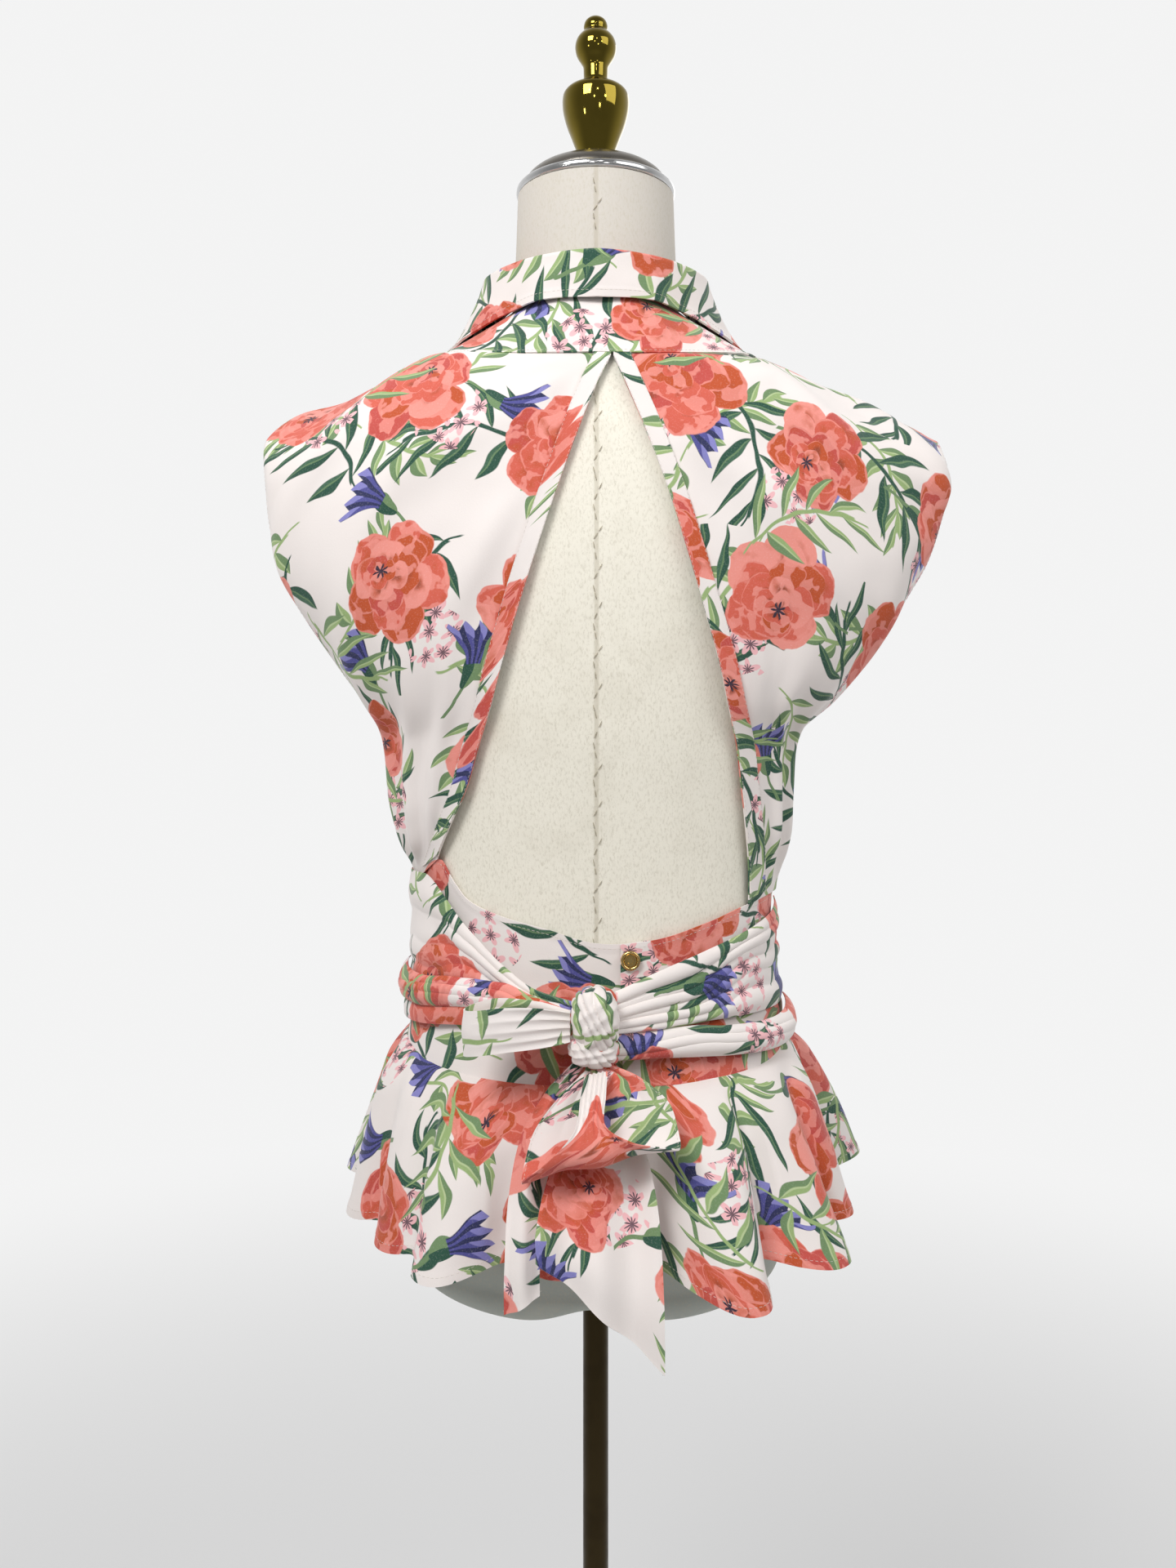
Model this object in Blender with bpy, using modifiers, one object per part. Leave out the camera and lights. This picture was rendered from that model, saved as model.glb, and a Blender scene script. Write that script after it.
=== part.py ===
"""Models a sleeveless peplum top on a limbless dress form: each cut piece, the form and its stand.

Metres, +Z up. The floor is z = 0 and the pole stands on the Z axis. The garment's back faces -Y.
Angles go round the body in degrees from the centre back, positive towards +X.
"""

import math
from collections import namedtuple

import bmesh
import bpy
import numpy as np

# Cloth: its thickness, and the gaps that its layers and seams keep
CLOTH = 0.0012
SEAM_GAP = 0.0004
BAND_LAYER = 0.0012
BODICE_LAYER = 0.0026
TIE_LAYER = 0.0037
ROLL_LAYER = 0.0070

# Stand: pole, base and the pocket that takes the pole in the form
POLE_RADIUS = 0.0082
POLE_TOP = 0.900
BORE_RADIUS = POLE_RADIUS + 0.0003
BASE_RADIUS = 0.165
BASE_THICK = 0.012
SOCKET_TOP = 0.046

# Form: rings from the hip to the neck, and the two lobes under it
Ring = namedtuple("Ring", "height half_width back front squareness")
FORM_RINGS = (
    Ring(0.8355, 0.1180, 0.088, 0.080, 2.3),
    Ring(0.8700, 0.1290, 0.103, 0.090, 2.3),
    Ring(0.9200, 0.1310, 0.101, 0.093, 2.3),
    Ring(0.9700, 0.1200, 0.0880, 0.0900, 2.3),
    Ring(0.9950, 0.1146, 0.0818, 0.0866, 2.3),
    Ring(1.0200, 0.1110, 0.0780, 0.0850, 2.3),
    Ring(1.0450, 0.1108, 0.0775, 0.0861, 2.3),
    Ring(1.0700, 0.1115, 0.0780, 0.0890, 2.3),
    Ring(1.1200, 0.1150, 0.082, 0.100, 2.3),
    Ring(1.1700, 0.1210, 0.088, 0.116, 2.3),
    Ring(1.2200, 0.1350, 0.092, 0.122, 2.3),
    Ring(1.2700, 0.1490, 0.094, 0.108, 2.3),
    Ring(1.3100, 0.1600, 0.092, 0.092, 2.3),
    Ring(1.3450, 0.1620, 0.087, 0.080, 2.3),
    Ring(1.3600, 0.1540, 0.083, 0.076, 2.3),
    Ring(1.3750, 0.1370, 0.079, 0.072, 2.3),
    Ring(1.3900, 0.1050, 0.073, 0.066, 2.25),
    Ring(1.4050, 0.0720, 0.064, 0.060, 2.15),
    Ring(1.4300, 0.0550, 0.056, 0.057, 2.0),
    Ring(1.4600, 0.0525, 0.052, 0.055, 2.0),
    Ring(1.5120, 0.0505, 0.050, 0.052, 2.0),
)
HIP_END = FORM_RINGS[0].height
NECK_TOP = FORM_RINGS[-1].height
LOBE_DEPTH = 0.0385
CLEFT_DEPTH = 0.016
CLEFT_WIDTH = 0.026

# Bodice: the shoulder line at y = 0, and how far below it the cloth reaches its full depth
Shoulder = namedtuple("Shoulder", "x height roof")
SHOULDER_LINE = (
    Shoulder(0.000, 1.5400, 0.090),
    Shoulder(0.030, 1.4800, 0.088),
    Shoulder(0.045, 1.4500, 0.080),
    Shoulder(0.055, 1.4345, 0.074),
    Shoulder(0.064, 1.4255, 0.067),
    Shoulder(0.070, 1.4215, 0.061),
    Shoulder(0.084, 1.4133, 0.053),
    Shoulder(0.100, 1.4040, 0.046),
    Shoulder(0.117, 1.3965, 0.048),
    Shoulder(0.147, 1.3805, 0.050),
    Shoulder(0.163, 1.3730, 0.050),
    Shoulder(0.190, 1.3635, 0.050),
    Shoulder(0.204, 1.3575, 0.048),
    Shoulder(0.219, 1.3485, 0.045),
)
TIP_HEIGHT = {-1: 1.3560, 1: 1.3490}
BODICE_SQUARENESS = 2.3

# Half width of the bodice, to the armhole's edge and below the underarm to the side seam
Outline = namedtuple("Outline", "height left right")
SIDE_OUTLINE = (
    Outline(1.066, 0.1145, 0.1145),
    Outline(1.084, 0.1152, 0.1152),
    Outline(1.105, 0.1225, 0.1195),
    Outline(1.124, 0.1280, 0.1210),
    Outline(1.150, 0.1310, 0.1240),
    Outline(1.168, 0.1350, 0.1310),
    Outline(1.185, 0.1456, 0.1480),
    Outline(1.205, 0.1585, 0.1630),
    Outline(1.235, 0.1776, 0.1815),
    Outline(1.252, 0.1867, 0.1920),
    Outline(1.270, 0.1935, 0.2020),
    Outline(1.295, 0.1994, 0.2100),
    Outline(1.314, 0.2013, 0.2145),
    Outline(1.346, 0.2055, 0.2180),
    Outline(1.360, 0.2070, 0.2190),
)
ArmholeRow = namedtuple("ArmholeRow", "height depth")
ARMHOLE_DEPTH = (
    ArmholeRow(1.164, 0.000),
    ArmholeRow(1.180, 0.014),
    ArmholeRow(1.210, 0.034),
    ArmholeRow(1.260, 0.046),
    ArmholeRow(1.300, 0.047),
    ArmholeRow(1.360, 0.040),
)

# Open back: the two edges, from the waistband to the apex under the yoke
Opening = namedtuple("Opening", "height left right")
OPENING = (
    Opening(1.062, -0.1030, 0.0925),
    Opening(1.075, -0.1000, 0.0925),
    Opening(1.090, -0.0960, 0.0918),
    Opening(1.103, -0.0905, 0.0903),
    Opening(1.118, -0.0835, 0.0885),
    Opening(1.132, -0.0770, 0.0866),
    Opening(1.158, -0.0690, 0.0830),
    Opening(1.184, -0.0607, 0.0764),
    Opening(1.205, -0.0550, 0.0716),
    Opening(1.236, -0.0460, 0.0626),
    Opening(1.272, -0.0346, 0.0520),
    Opening(1.311, -0.0215, 0.0397),
    Opening(1.351, -0.0072, 0.0250),
    Opening(1.372, 0.0010, 0.0166),
    Opening(1.388, 0.0086, 0.0100),
)
BINDING_WIDTH = 0.0105

# Seams of the neck: the yoke's lower edge, and the neck edge at the back and at the front
Seam = namedtuple("Seam", "x height")
YOKE_SEAM = (
    Seam(0.000, 1.3900),
    Seam(0.037, 1.3895),
    Seam(0.060, 1.3925),
    Seam(0.080, 1.3945),
    Seam(0.094, 1.3975),
    Seam(0.104, 1.4022),
)
BACK_NECK = (
    Seam(0.000, 1.4330),
    Seam(0.030, 1.4320),
    Seam(0.050, 1.4290),
    Seam(0.064, 1.4255),
)
FRONT_NECK = (
    Seam(0.000, 1.4060),
    Seam(0.025, 1.4075),
    Seam(0.045, 1.4120),
    Seam(0.058, 1.4185),
    Seam(0.064, 1.4255),
)

# Collar, by angle: the fold's place and height, and the fall's free edge
CollarRow = namedtuple("CollarRow", "angle fold_radius fold_height edge_x edge_y edge_height")
COLLAR = (
    CollarRow(0, 0.0635, 1.4560, 0.0000, -0.0700, 1.4320),
    CollarRow(30, 0.0640, 1.4550, 0.0355, -0.0620, 1.4305),
    CollarRow(50, 0.0650, 1.4550, 0.0575, -0.0430, 1.4270),
    CollarRow(66, 0.0670, 1.4555, 0.0735, -0.0300, 1.4205),
    CollarRow(80, 0.0700, 1.4560, 0.0890, -0.0130, 1.4145),
    CollarRow(96, 0.0715, 1.4550, 0.1090, 0.0110, 1.4055),
    CollarRow(112, 0.0725, 1.4500, 0.1190, 0.0450, 1.3910),
    CollarRow(132, 0.0730, 1.4420, 0.0960, 0.0790, 1.3690),
    CollarRow(156, 0.0735, 1.4330, 0.0550, 0.0880, 1.3580),
    CollarRow(178, 0.0740, 1.4280, 0.0220, 0.0900, 1.3520),
)
COLLAR_END = 176

# Waistband, by angle: its two edges, and the overlap at the back
BandRow = namedtuple("BandRow", "angle top foot")
BAND = (
    BandRow(-180, 1.0600, 0.9700),
    BandRow(-90, 1.0700, 0.9740),
    BandRow(-70, 1.0850, 0.9710),
    BandRow(-54, 1.0880, 0.9665),
    BandRow(-47, 1.0760, 0.9650),
    BandRow(-40, 1.0650, 0.9640),
    BandRow(-26, 1.0560, 0.9620),
    BandRow(-13, 1.0500, 0.9610),
    BandRow(3, 1.0410, 0.9610),
    BandRow(13, 1.0430, 0.9610),
    BandRow(33, 1.0520, 0.9625),
    BandRow(52, 1.0605, 0.9650),
    BandRow(90, 1.0665, 0.9740),
    BandRow(180, 1.0600, 0.9700),
)
SEAM_ANGLE = 0.12
OVERLAP_START = 5.2
OVERLAP_END = 13.0

# Peplum: the flutes of its hem, by angle, and the hem between them
Flute = namedtuple("Flute", "angle reach width drop")
FLUTES = (
    Flute(-168, 0.024, 9, 0.004),
    Flute(-147, 0.022, 9, 0.002),
    Flute(-126, 0.026, 8, 0.000),
    Flute(-104, 0.032, 8.6, 0.002),
    Flute(-74, 0.018, 8, 0.004),
    Flute(-51, 0.016, 9, 0.006),
    Flute(-32, 0.029, 8, 0.009),
    Flute(-6, 0.016, 7, 0.002),
    Flute(24, 0.052, 8, 0.012),
    Flute(48, 0.043, 10, 0.006),
    Flute(71, 0.024, 7, 0.000),
    Flute(105, 0.045, 8, -0.006),
    Flute(130, 0.024, 9, 0.002),
    Flute(156, 0.023, 9, 0.004),
)
FLUTE_SHARPNESS = 2.6
HEM_HEIGHT = 0.872
HEM_SIDE = 0.1385
HEM_BACK = 0.1260
HEM_FRONT = 0.1220
HEM_ROUNDNESS = 0.92

# Ties on the waist, by angle: their edges, and how far they rise towards the knot
TieRow = namedtuple("TieRow", "angle top foot rise")
TIE_LEFT_WIDE = (
    TieRow(-89.5, 1.0780, 0.9860, 0.0022),
    TieRow(-61, 1.0790, 0.9880, 0.0026),
    TieRow(-37, 1.0460, 0.9920, 0.0018),
    TieRow(-24, 1.0270, 0.9925, 0.0035),
    TieRow(-14, 1.0160, 0.9925, 0.0090),
    TieRow(-3.9, 1.0110, 0.9920, 0.0170),
)
TIE_RIGHT_WIDE = (
    TieRow(3.2, 1.0170, 0.9945, 0.0170),
    TieRow(12, 1.0250, 0.9945, 0.0100),
    TieRow(20, 1.0300, 0.9950, 0.0050),
    TieRow(35, 1.0380, 0.9960, 0.0010),
    TieRow(60, 1.0490, 0.9960, 0.0000),
    TieRow(89.5, 1.0590, 0.9950, 0.0000),
)
TIE_LEFT_ROUND = (
    TieRow(-91, 1.0190, 0.9990, 0.0024),
    TieRow(-60, 1.0165, 1.0000, 0.0028),
    TieRow(-42, 1.0190, 1.0030, 0.0022),
    TieRow(-37, 1.0190, 1.0035, 0.0022),
    TieRow(-24, 1.0185, 1.0040, 0.0040),
    TieRow(-14, 1.0130, 0.9990, 0.0095),
    TieRow(-5.2, 1.0070, 0.9970, 0.0160),
)
TIE_RIGHT_ROUND = (
    TieRow(3.3, 0.9925, 0.9800, 0.0125),
    TieRow(13, 0.9930, 0.9790, 0.0050),
    TieRow(24, 0.9935, 0.9775, 0.0010),
    TieRow(36, 0.9915, 0.9760, 0.0000),
    TieRow(60, 0.9905, 0.9745, 0.0000),
    TieRow(91, 0.9950, 0.9780, 0.0000),
)
TIE_FRONT = (
    TieRow(92, 1.0260, 0.9800, 0.0000),
    TieRow(135, 1.0290, 0.9830, 0.0000),
    TieRow(180, 1.0310, 0.9850, 0.0000),
    TieRow(225, 1.0290, 0.9850, 0.0000),
    TieRow(268, 1.0250, 0.9930, 0.0000),
)
PLEAT = 0.0016
ROLL_HEIGHT = 0.0040

# Bow: half the width of its flat band, the knot, and the bands of the loops and tails as middle line, half width and fold
BAND_HALF = 0.0425
KNOT_CENTRE = (-0.0010, -0.1130, 1.0005)
KNOT_HALF = (0.0134, 0.0185, 0.0225)
Stop = namedtuple("Stop", "x y z half_width")
LOOP_LEFT = (
    Stop(-0.0147, -0.1150, 1.0020, 0.0080),
    Stop(-0.0330, -0.1115, 1.0035, 0.0110),
    Stop(-0.0560, -0.1080, 1.0030, 0.0128),
    Stop(-0.0705, -0.1110, 1.0000, 0.0130),
    Stop(-0.0755, -0.1180, 0.9985, 0.0128),
    Stop(-0.0690, -0.1255, 0.9995, 0.0126),
    Stop(-0.0510, -0.1285, 1.0020, 0.0124),
    Stop(-0.0310, -0.1275, 1.0030, 0.0110),
    Stop(-0.0147, -0.1215, 1.0020, 0.0080),
)
LOOP_RIGHT = (
    Stop(0.0010, -0.1160, 0.9773, 0.0080),
    Stop(0.0020, -0.1200, 0.9680, 0.0230),
    Stop(0.0025, -0.1260, 0.9540, 0.0370),
    Stop(0.0025, -0.1350, 0.9400, 0.0420),
    Stop(0.0020, -0.1460, 0.9345, 0.0425),
    Stop(0.0000, -0.1550, 0.9385, 0.0380),
    Stop(-0.0030, -0.1570, 0.9460, 0.0220),
    Stop(-0.0040, -0.1510, 0.9560, 0.0080),
    Stop(-0.0025, -0.1370, 0.9690, 0.0065),
    Stop(-0.0010, -0.1250, 0.9785, 0.0060),
)
LOOP_RIGHT_LEAN = 0.0090
TAIL_RIGHT = (
    Stop(0.0020, -0.1085, 0.9783, 0.0070),
    Stop(0.0020, -0.1120, 0.9600, 0.0130),
    Stop(0.0020, -0.1200, 0.9400, 0.0230),
    Stop(0.0020, -0.1400, 0.9130, 0.0310),
    Stop(0.0015, -0.1610, 0.8850, 0.0335),
    Stop(0.0015, -0.1660, 0.8620, 0.0335),
)
TAIL_RIGHT_CUT = 0.0290
TAIL_LEFT = (
    Stop(-0.0100, -0.1085, 0.9790, 0.0035),
    Stop(-0.0230, -0.1090, 0.9620, 0.0060),
    Stop(-0.0340, -0.1170, 0.9400, 0.0085),
    Stop(-0.0390, -0.1370, 0.9130, 0.0095),
    Stop(-0.0400, -0.1560, 0.8850, 0.0095),
    Stop(-0.0400, -0.1600, 0.8640, 0.0095),
)
TAIL_LEFT_CUT = -0.0050

# Button on the overlap
BUTTON_ANGLE = 7.6
BUTTON_HEIGHT = 1.0320
BUTTON_RADIUS = 0.0058

# Colours of the photograph, linear
PRINT_BASE = (0.760, 0.700, 0.660, 1.0)
COVER_CREAM = (0.730, 0.680, 0.560, 1.0)
BRASS = (0.420, 0.300, 0.080, 1.0)
CHROME = (0.800, 0.800, 0.800, 1.0)
DARK_METAL = (0.070, 0.060, 0.050, 1.0)
BRONZE = (0.040, 0.026, 0.018, 1.0)


def curve(keys, values, slopes, at):
    """Reads a smooth curve through values at keys, with a given slope at each."""
    at = np.clip(at, keys[0], keys[-1])
    i = np.clip(np.searchsorted(keys, at, side="right") - 1, 0, len(keys) - 2)
    step = keys[i + 1] - keys[i]
    t = (at - keys[i]) / step
    rise = t * t * (3 - 2 * t)
    start_pull = t * (1 - t) ** 2 * step * slopes[i]
    end_pull = t * t * (t - 1) * step * slopes[i + 1]
    return values[i] + rise * (values[i + 1] - values[i]) + start_pull + end_pull


def read(table, name, at):
    """Reads a named column at values of the table's first column, with no overshoot between rows."""
    keys = np.array([row[0] for row in table], float)
    values = np.array([getattr(row, name) for row in table], float)
    rates = np.diff(values) / np.diff(keys)
    slopes = np.concatenate(([rates[0]], np.zeros(len(keys) - 2), [rates[-1]]))
    before, after = rates[:-1], rates[1:]
    same_way = before * after > 0
    slopes[1:-1][same_way] = 2 * (before * after)[same_way] / (before + after)[same_way]
    return curve(keys, values, slopes, at)


def along(stops, name, share):
    """Reads a named value at a share of the way along a band's stops."""
    values = np.array([getattr(stop, name) for stop in stops], float)
    return curve(np.arange(len(stops)), values, np.gradient(values), share * (len(stops) - 1))


def mix(a, b, share):
    return a + (b - a) * share


def ease(value, start, end):
    """Goes smoothly from 0 at start to 1 at end."""
    t = np.clip((value - start) / (end - start), 0, 1)
    return t * t * (3 - 2 * t)


def stack(x, y, z):
    return np.stack(np.broadcast_arrays(x, y, z), axis=-1)


def material(name, colour, roughness, metallic=0.0):
    made = bpy.data.materials.new(name)
    made.use_nodes = True
    shader = made.node_tree.nodes["Principled BSDF"]
    shader.inputs["Base Color"].default_value = colour
    shader.inputs["Roughness"].default_value = roughness
    shader.inputs["Metallic"].default_value = metallic
    made.diffuse_color = colour
    return made


def add_object(name, bm, finish, collection, sharp_angle=40):
    """Makes a named object of a bmesh, shaded smooth but for its sharp edges."""
    mesh = bpy.data.meshes.new(name)
    bm.to_mesh(mesh)
    bm.free()
    mesh.shade_smooth()
    mesh.set_sharp_from_angle(angle=math.radians(sharp_angle))
    obj = bpy.data.objects.new(name, mesh)
    obj.data.materials.append(finish)
    collection.objects.link(obj)
    return obj


def surface_mesh(surface, columns, rows, flip=False):
    """Moves a flat grid's points onto a surface of u and v, both from 0 to 1."""
    bm = bmesh.new()
    bmesh.ops.create_grid(bm, x_segments=columns, y_segments=rows, size=0.5)
    flat = np.array([vert.co for vert in bm.verts])
    for vert, point in zip(bm.verts, surface(flat[:, 0] + 0.5, flat[:, 1] + 0.5)):
        vert.co = point
    if flip:
        bmesh.ops.reverse_faces(bm, faces=bm.faces)
    return bm


def sheet(name, surface, columns, rows, finish, collection, flip=False):
    """Makes a piece of cloth: an open surface that Solidify thickens on its outer side."""
    obj = add_object(name, surface_mesh(surface, columns, rows, flip), finish, collection)
    thicken = obj.modifiers.new("thickness", "SOLIDIFY")
    thicken.thickness = CLOTH
    thicken.offset = 1
    return obj


def closed_body(name, surface, columns, rows, finish, collection):
    """Makes a body from a surface whose two u edges meet, filling the rings that stay open."""
    bm = surface_mesh(surface, columns, rows)
    bmesh.ops.remove_doubles(bm, verts=bm.verts, dist=1e-6)
    bmesh.ops.holes_fill(bm, edges=[edge for edge in bm.edges if edge.is_boundary], sides=0)
    bmesh.ops.recalc_face_normals(bm, faces=bm.faces)
    return add_object(name, bm, finish, collection)


def turned(name, profile, segments, finish, collection):
    """Turns a profile of (radius, height) about Z. The profile runs down its outer side."""
    bm = bmesh.new()
    verts = [bm.verts.new((radius, 0, height)) for radius, height in profile]
    for first, second in zip(verts, verts[1:]):
        bm.edges.new((first, second))
    obj = add_object(name, bm, finish, collection)
    screw = obj.modifiers.new("turn", "SCREW")
    screw.steps = segments
    screw.render_steps = segments
    screw.use_merge_vertices = True
    screw.merge_threshold = 1e-5
    screw.use_smooth_shade = True
    return obj


def rounded(power, turn):
    """Sine or cosine values bent to a section's squareness."""
    return np.sign(turn) * np.abs(turn) ** power


def on_form(angle, height, off):
    """A point at a distance off the form's side, by its angle from the centre back and its height."""
    across, back = np.sin(np.radians(angle)), np.cos(np.radians(angle))
    power = 2 / read(FORM_RINGS, "squareness", height)
    depth = np.where(back > 0, read(FORM_RINGS, "back", height), read(FORM_RINGS, "front", height))
    x = (read(FORM_RINGS, "half_width", height) + off) * rounded(power, across)
    return stack(x, -(depth + off) * rounded(power, back), height)


def form_surface(u, v):
    """The form from the middle of its underside (v = 0), over the lobes, to the top of the neck (v = 1)."""
    underside = 0.2
    height = along(FORM_RINGS, "height", np.clip((v - underside) / (1 - underside), 0, 1))
    curve_angle = np.pi / 2 * np.clip(v / underside, 0, 1)
    side = on_form(360 * u, height, 0)
    x, y = side[..., 0] * np.sin(curve_angle), side[..., 1] * np.sin(curve_angle)
    cleft = CLEFT_DEPTH * np.exp(-((x / CLEFT_WIDTH) ** 2))
    return stack(x, y, height - (LOBE_DEPTH - cleft) * np.cos(curve_angle))


def edge_name(side):
    return "right" if side > 0 else "left"


def on_bodice(x, height, facing, side):
    """A point of the bodice's inner side: facing is -1 at the back and 1 at the front."""
    outer = read(SIDE_OUTLINE, edge_name(side), height)
    armhole = read(ARMHOLE_DEPTH, "depth", height)
    middle = read(FORM_RINGS, "back" if facing < 0 else "front", height) + BODICE_LAYER
    share = np.clip(np.abs(x) / outer, 0, 1)
    depth = mix(armhole, middle, (1 - share**BODICE_SQUARENESS) ** (1 / BODICE_SQUARENESS))
    line = read(SHOULDER_LINE, "height", np.abs(x))
    drop = np.clip((line - height) / read(SHOULDER_LINE, "roof", np.abs(x)), 0, 1)
    return stack(x, facing * (depth * np.sqrt(1 - (1 - drop) ** 2) + SEAM_GAP / 2), height)


def panel_place(facing, side):
    """Gives a bodice panel's points by the share across, from its inner edge, and the share up."""
    seam = YOKE_SEAM if facing < 0 else FRONT_NECK
    foot_angle = {-1: -54, 1: 52}[side] if facing < 0 else 180
    inner_foot = read(BAND, "top", foot_angle) + SEAM_GAP
    outer_foot = read(BAND, "top", side * 90) + SEAM_GAP

    def inner_x(height):
        if facing > 0:
            return side * SEAM_GAP / 2 + 0 * height
        return read(OPENING, edge_name(side), height)

    def outer_x(height):
        return side * read(SIDE_OUTLINE, edge_name(side), height)

    def top_height(x):
        line = read(SHOULDER_LINE, "height", np.abs(x))
        return np.where(np.abs(x) < seam[-1].x, read(seam, "height", np.abs(x)) - SEAM_GAP, line)

    inner_top = top_height(inner_x(OPENING[-1].height))
    outer_top = TIP_HEIGHT[side]

    def place(across, up):
        x = mix(inner_x(mix(inner_foot, inner_top, up)), outer_x(mix(outer_foot, outer_top, up)), across)
        top = top_height(mix(inner_x(inner_top), outer_x(outer_top), across))
        return on_bodice(x, mix(mix(inner_foot, outer_foot, across), top, up), facing, side)

    return place


def panel(facing, side):
    """A bodice panel, with closer rows at the shoulder and closer columns at the side."""
    place = panel_place(facing, side)

    def surface(u, v):
        return place(mix(u, np.sin(np.pi / 2 * u), 0.65), mix(v, 1 - (1 - v) ** 2, 0.8))

    return surface


def lifted(place, off, turn, step=1e-3):
    """Moves a surface out along its normal, by a signed turn of u across v."""

    def surface(u, v):
        tangent_u = place(u + step, v) - place(u - step, v)
        tangent_v = place(u, v + step) - place(u, v - step)
        normal = np.cross(tangent_u, tangent_v) * turn
        return place(u, v) + off * normal / np.linalg.norm(normal, axis=-1, keepdims=True)

    return surface


def binding(side):
    """The strip along one edge of the open back, on the outer side of its panel."""
    place = panel_place(-1, side)
    foot, apex = 0.012, 0.996

    def strip(u, v):
        up = mix(foot, apex, v)
        edge, far = place(0 * up, up), place(1 + 0 * up, up)
        return place(u * BINDING_WIDTH / np.abs(far - edge)[..., 0], up)

    return lifted(strip, CLOTH + 4 * SEAM_GAP, side)


def yoke(u, v):
    """The back yoke, from its edge on the panels (v = 0) to the neck (v = 1)."""
    swing = np.sin(np.pi / 2 * (2 * u - 1))
    seam_x, neck_x = YOKE_SEAM[-1].x * swing, BACK_NECK[-1].x * swing
    seam = on_bodice(seam_x, read(YOKE_SEAM, "height", np.abs(seam_x)), -1, 1)
    neck = on_bodice(neck_x, read(BACK_NECK, "height", np.abs(neck_x)), -1, 1)
    over_panels = (CLOTH + 2 * SEAM_GAP) * (1 - v)
    return mix(seam, neck, v[..., None]) + over_panels[..., None] * np.array((0, -0.7, 0.7))


def collar(u, v):
    """The collar, from the stand's foot (v = 0), over the fold, to the fall's free edge (v = 1)."""
    stand_end, roll_end, roll = 0.3, 0.46, 0.0017
    angle = mix(-COLLAR_END, COLLAR_END, u)
    reach = np.abs(angle)
    out = stack(np.sin(np.radians(angle)), -np.cos(np.radians(angle)), 0)
    neck_x = BACK_NECK[-1].x * np.sin(np.radians(angle))
    back = on_bodice(neck_x, read(BACK_NECK, "height", np.abs(neck_x)), -1, 1)
    front = on_bodice(neck_x, read(FRONT_NECK, "height", np.abs(neck_x)), 1, 1)
    foot = np.where((reach < 90)[..., None], back, front) + CLOTH * out + (0, 0, 1.3 * CLOTH)
    centre = out * read(COLLAR, "fold_radius", reach)[..., None]
    centre[..., 2] = read(COLLAR, "fold_height", reach) - roll
    edge = stack(
        np.sign(angle) * read(COLLAR, "edge_x", reach),
        read(COLLAR, "edge_y", reach),
        read(COLLAR, "edge_height", reach),
    )
    stand_share = np.clip(v / stand_end, 0, 1)[..., None]
    turn = np.pi * (1 - np.clip((v - stand_end) / (roll_end - stand_end), 0, 1))
    fall_share = np.clip((v - roll_end) / (1 - roll_end), 0, 1)
    fold = centre + out * (roll * np.cos(turn))[..., None] + stack(0, 0, roll * np.sin(turn))
    stand = mix(foot, centre - out * roll, stand_share)
    sag = 0.007 * ease(reach, 30, 90) * 4 * fall_share * (1 - fall_share)
    fall = mix(centre + out * roll, edge, fall_share[..., None]) - stack(0, 0, sag)
    return np.where((v < stand_end)[..., None], stand, np.where((v < roll_end)[..., None], fold, fall))


def centred(angle):
    return (angle + 180) % 360 - 180


def waistband(start, end, lap=0.0):
    """A part of the waistband between two angles. A lap lifts its start over the piece below."""

    def surface(u, v):
        angle = mix(start, end, u)
        height = mix(read(BAND, "foot", centred(angle)), read(BAND, "top", centred(angle)), v)
        return on_form(angle, height, BAND_LAYER + lap * (1 - ease(angle, OVERLAP_END + 2, 2.4 * OVERLAP_END)))

    return surface


def peplum(start, end):
    """Half of the peplum, from the hem (v = 0) to the waist seam (v = 1)."""

    def surface(u, v):
        angle = mix(start, end, u)
        fall = 1 - v
        seam = on_form(angle, read(BAND, "foot", centred(angle)) - CLOTH - SEAM_GAP, BAND_LAYER)
        across, back = np.sin(np.radians(angle)), np.cos(np.radians(angle))
        hem_x = HEM_SIDE * rounded(HEM_ROUNDNESS, across)
        hem_y = -np.where(back > 0, HEM_BACK, HEM_FRONT) * rounded(HEM_ROUNDNESS, back)
        out_x, out_y = hem_x / np.hypot(hem_x, hem_y), hem_y / np.hypot(hem_x, hem_y)
        reach, drop = 0, 0
        for flute in FLUTES:
            shape = np.exp(-np.abs(centred(angle - flute.angle) / flute.width) ** FLUTE_SHARPNESS)
            reach = reach + flute.reach * shape
            drop = drop + flute.drop * shape
        flare, flute_share = np.sqrt(fall), fall**0.85
        x = mix(seam[..., 0], hem_x, flare) + out_x * reach * flute_share
        y = mix(seam[..., 1], hem_y, flare) + out_y * reach * flute_share
        return stack(x, y, mix(seam[..., 2], HEM_HEIGHT - drop, fall))

    return surface


def waist_tie(table, layer, pleats, pleat, arch=0.0):
    """A tie lying round the waist: v goes from its lower edge to its upper edge."""

    def surface(u, v):
        angle = mix(table[0].angle, table[-1].angle, u)
        folds = pleat * np.sin(np.pi * pleats * v) ** 2 + arch * np.sin(np.pi * v)
        off = layer + read(table, "rise", angle) + folds
        return on_form(angle, mix(read(table, "foot", angle), read(table, "top", angle), v), off)

    return surface


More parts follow.
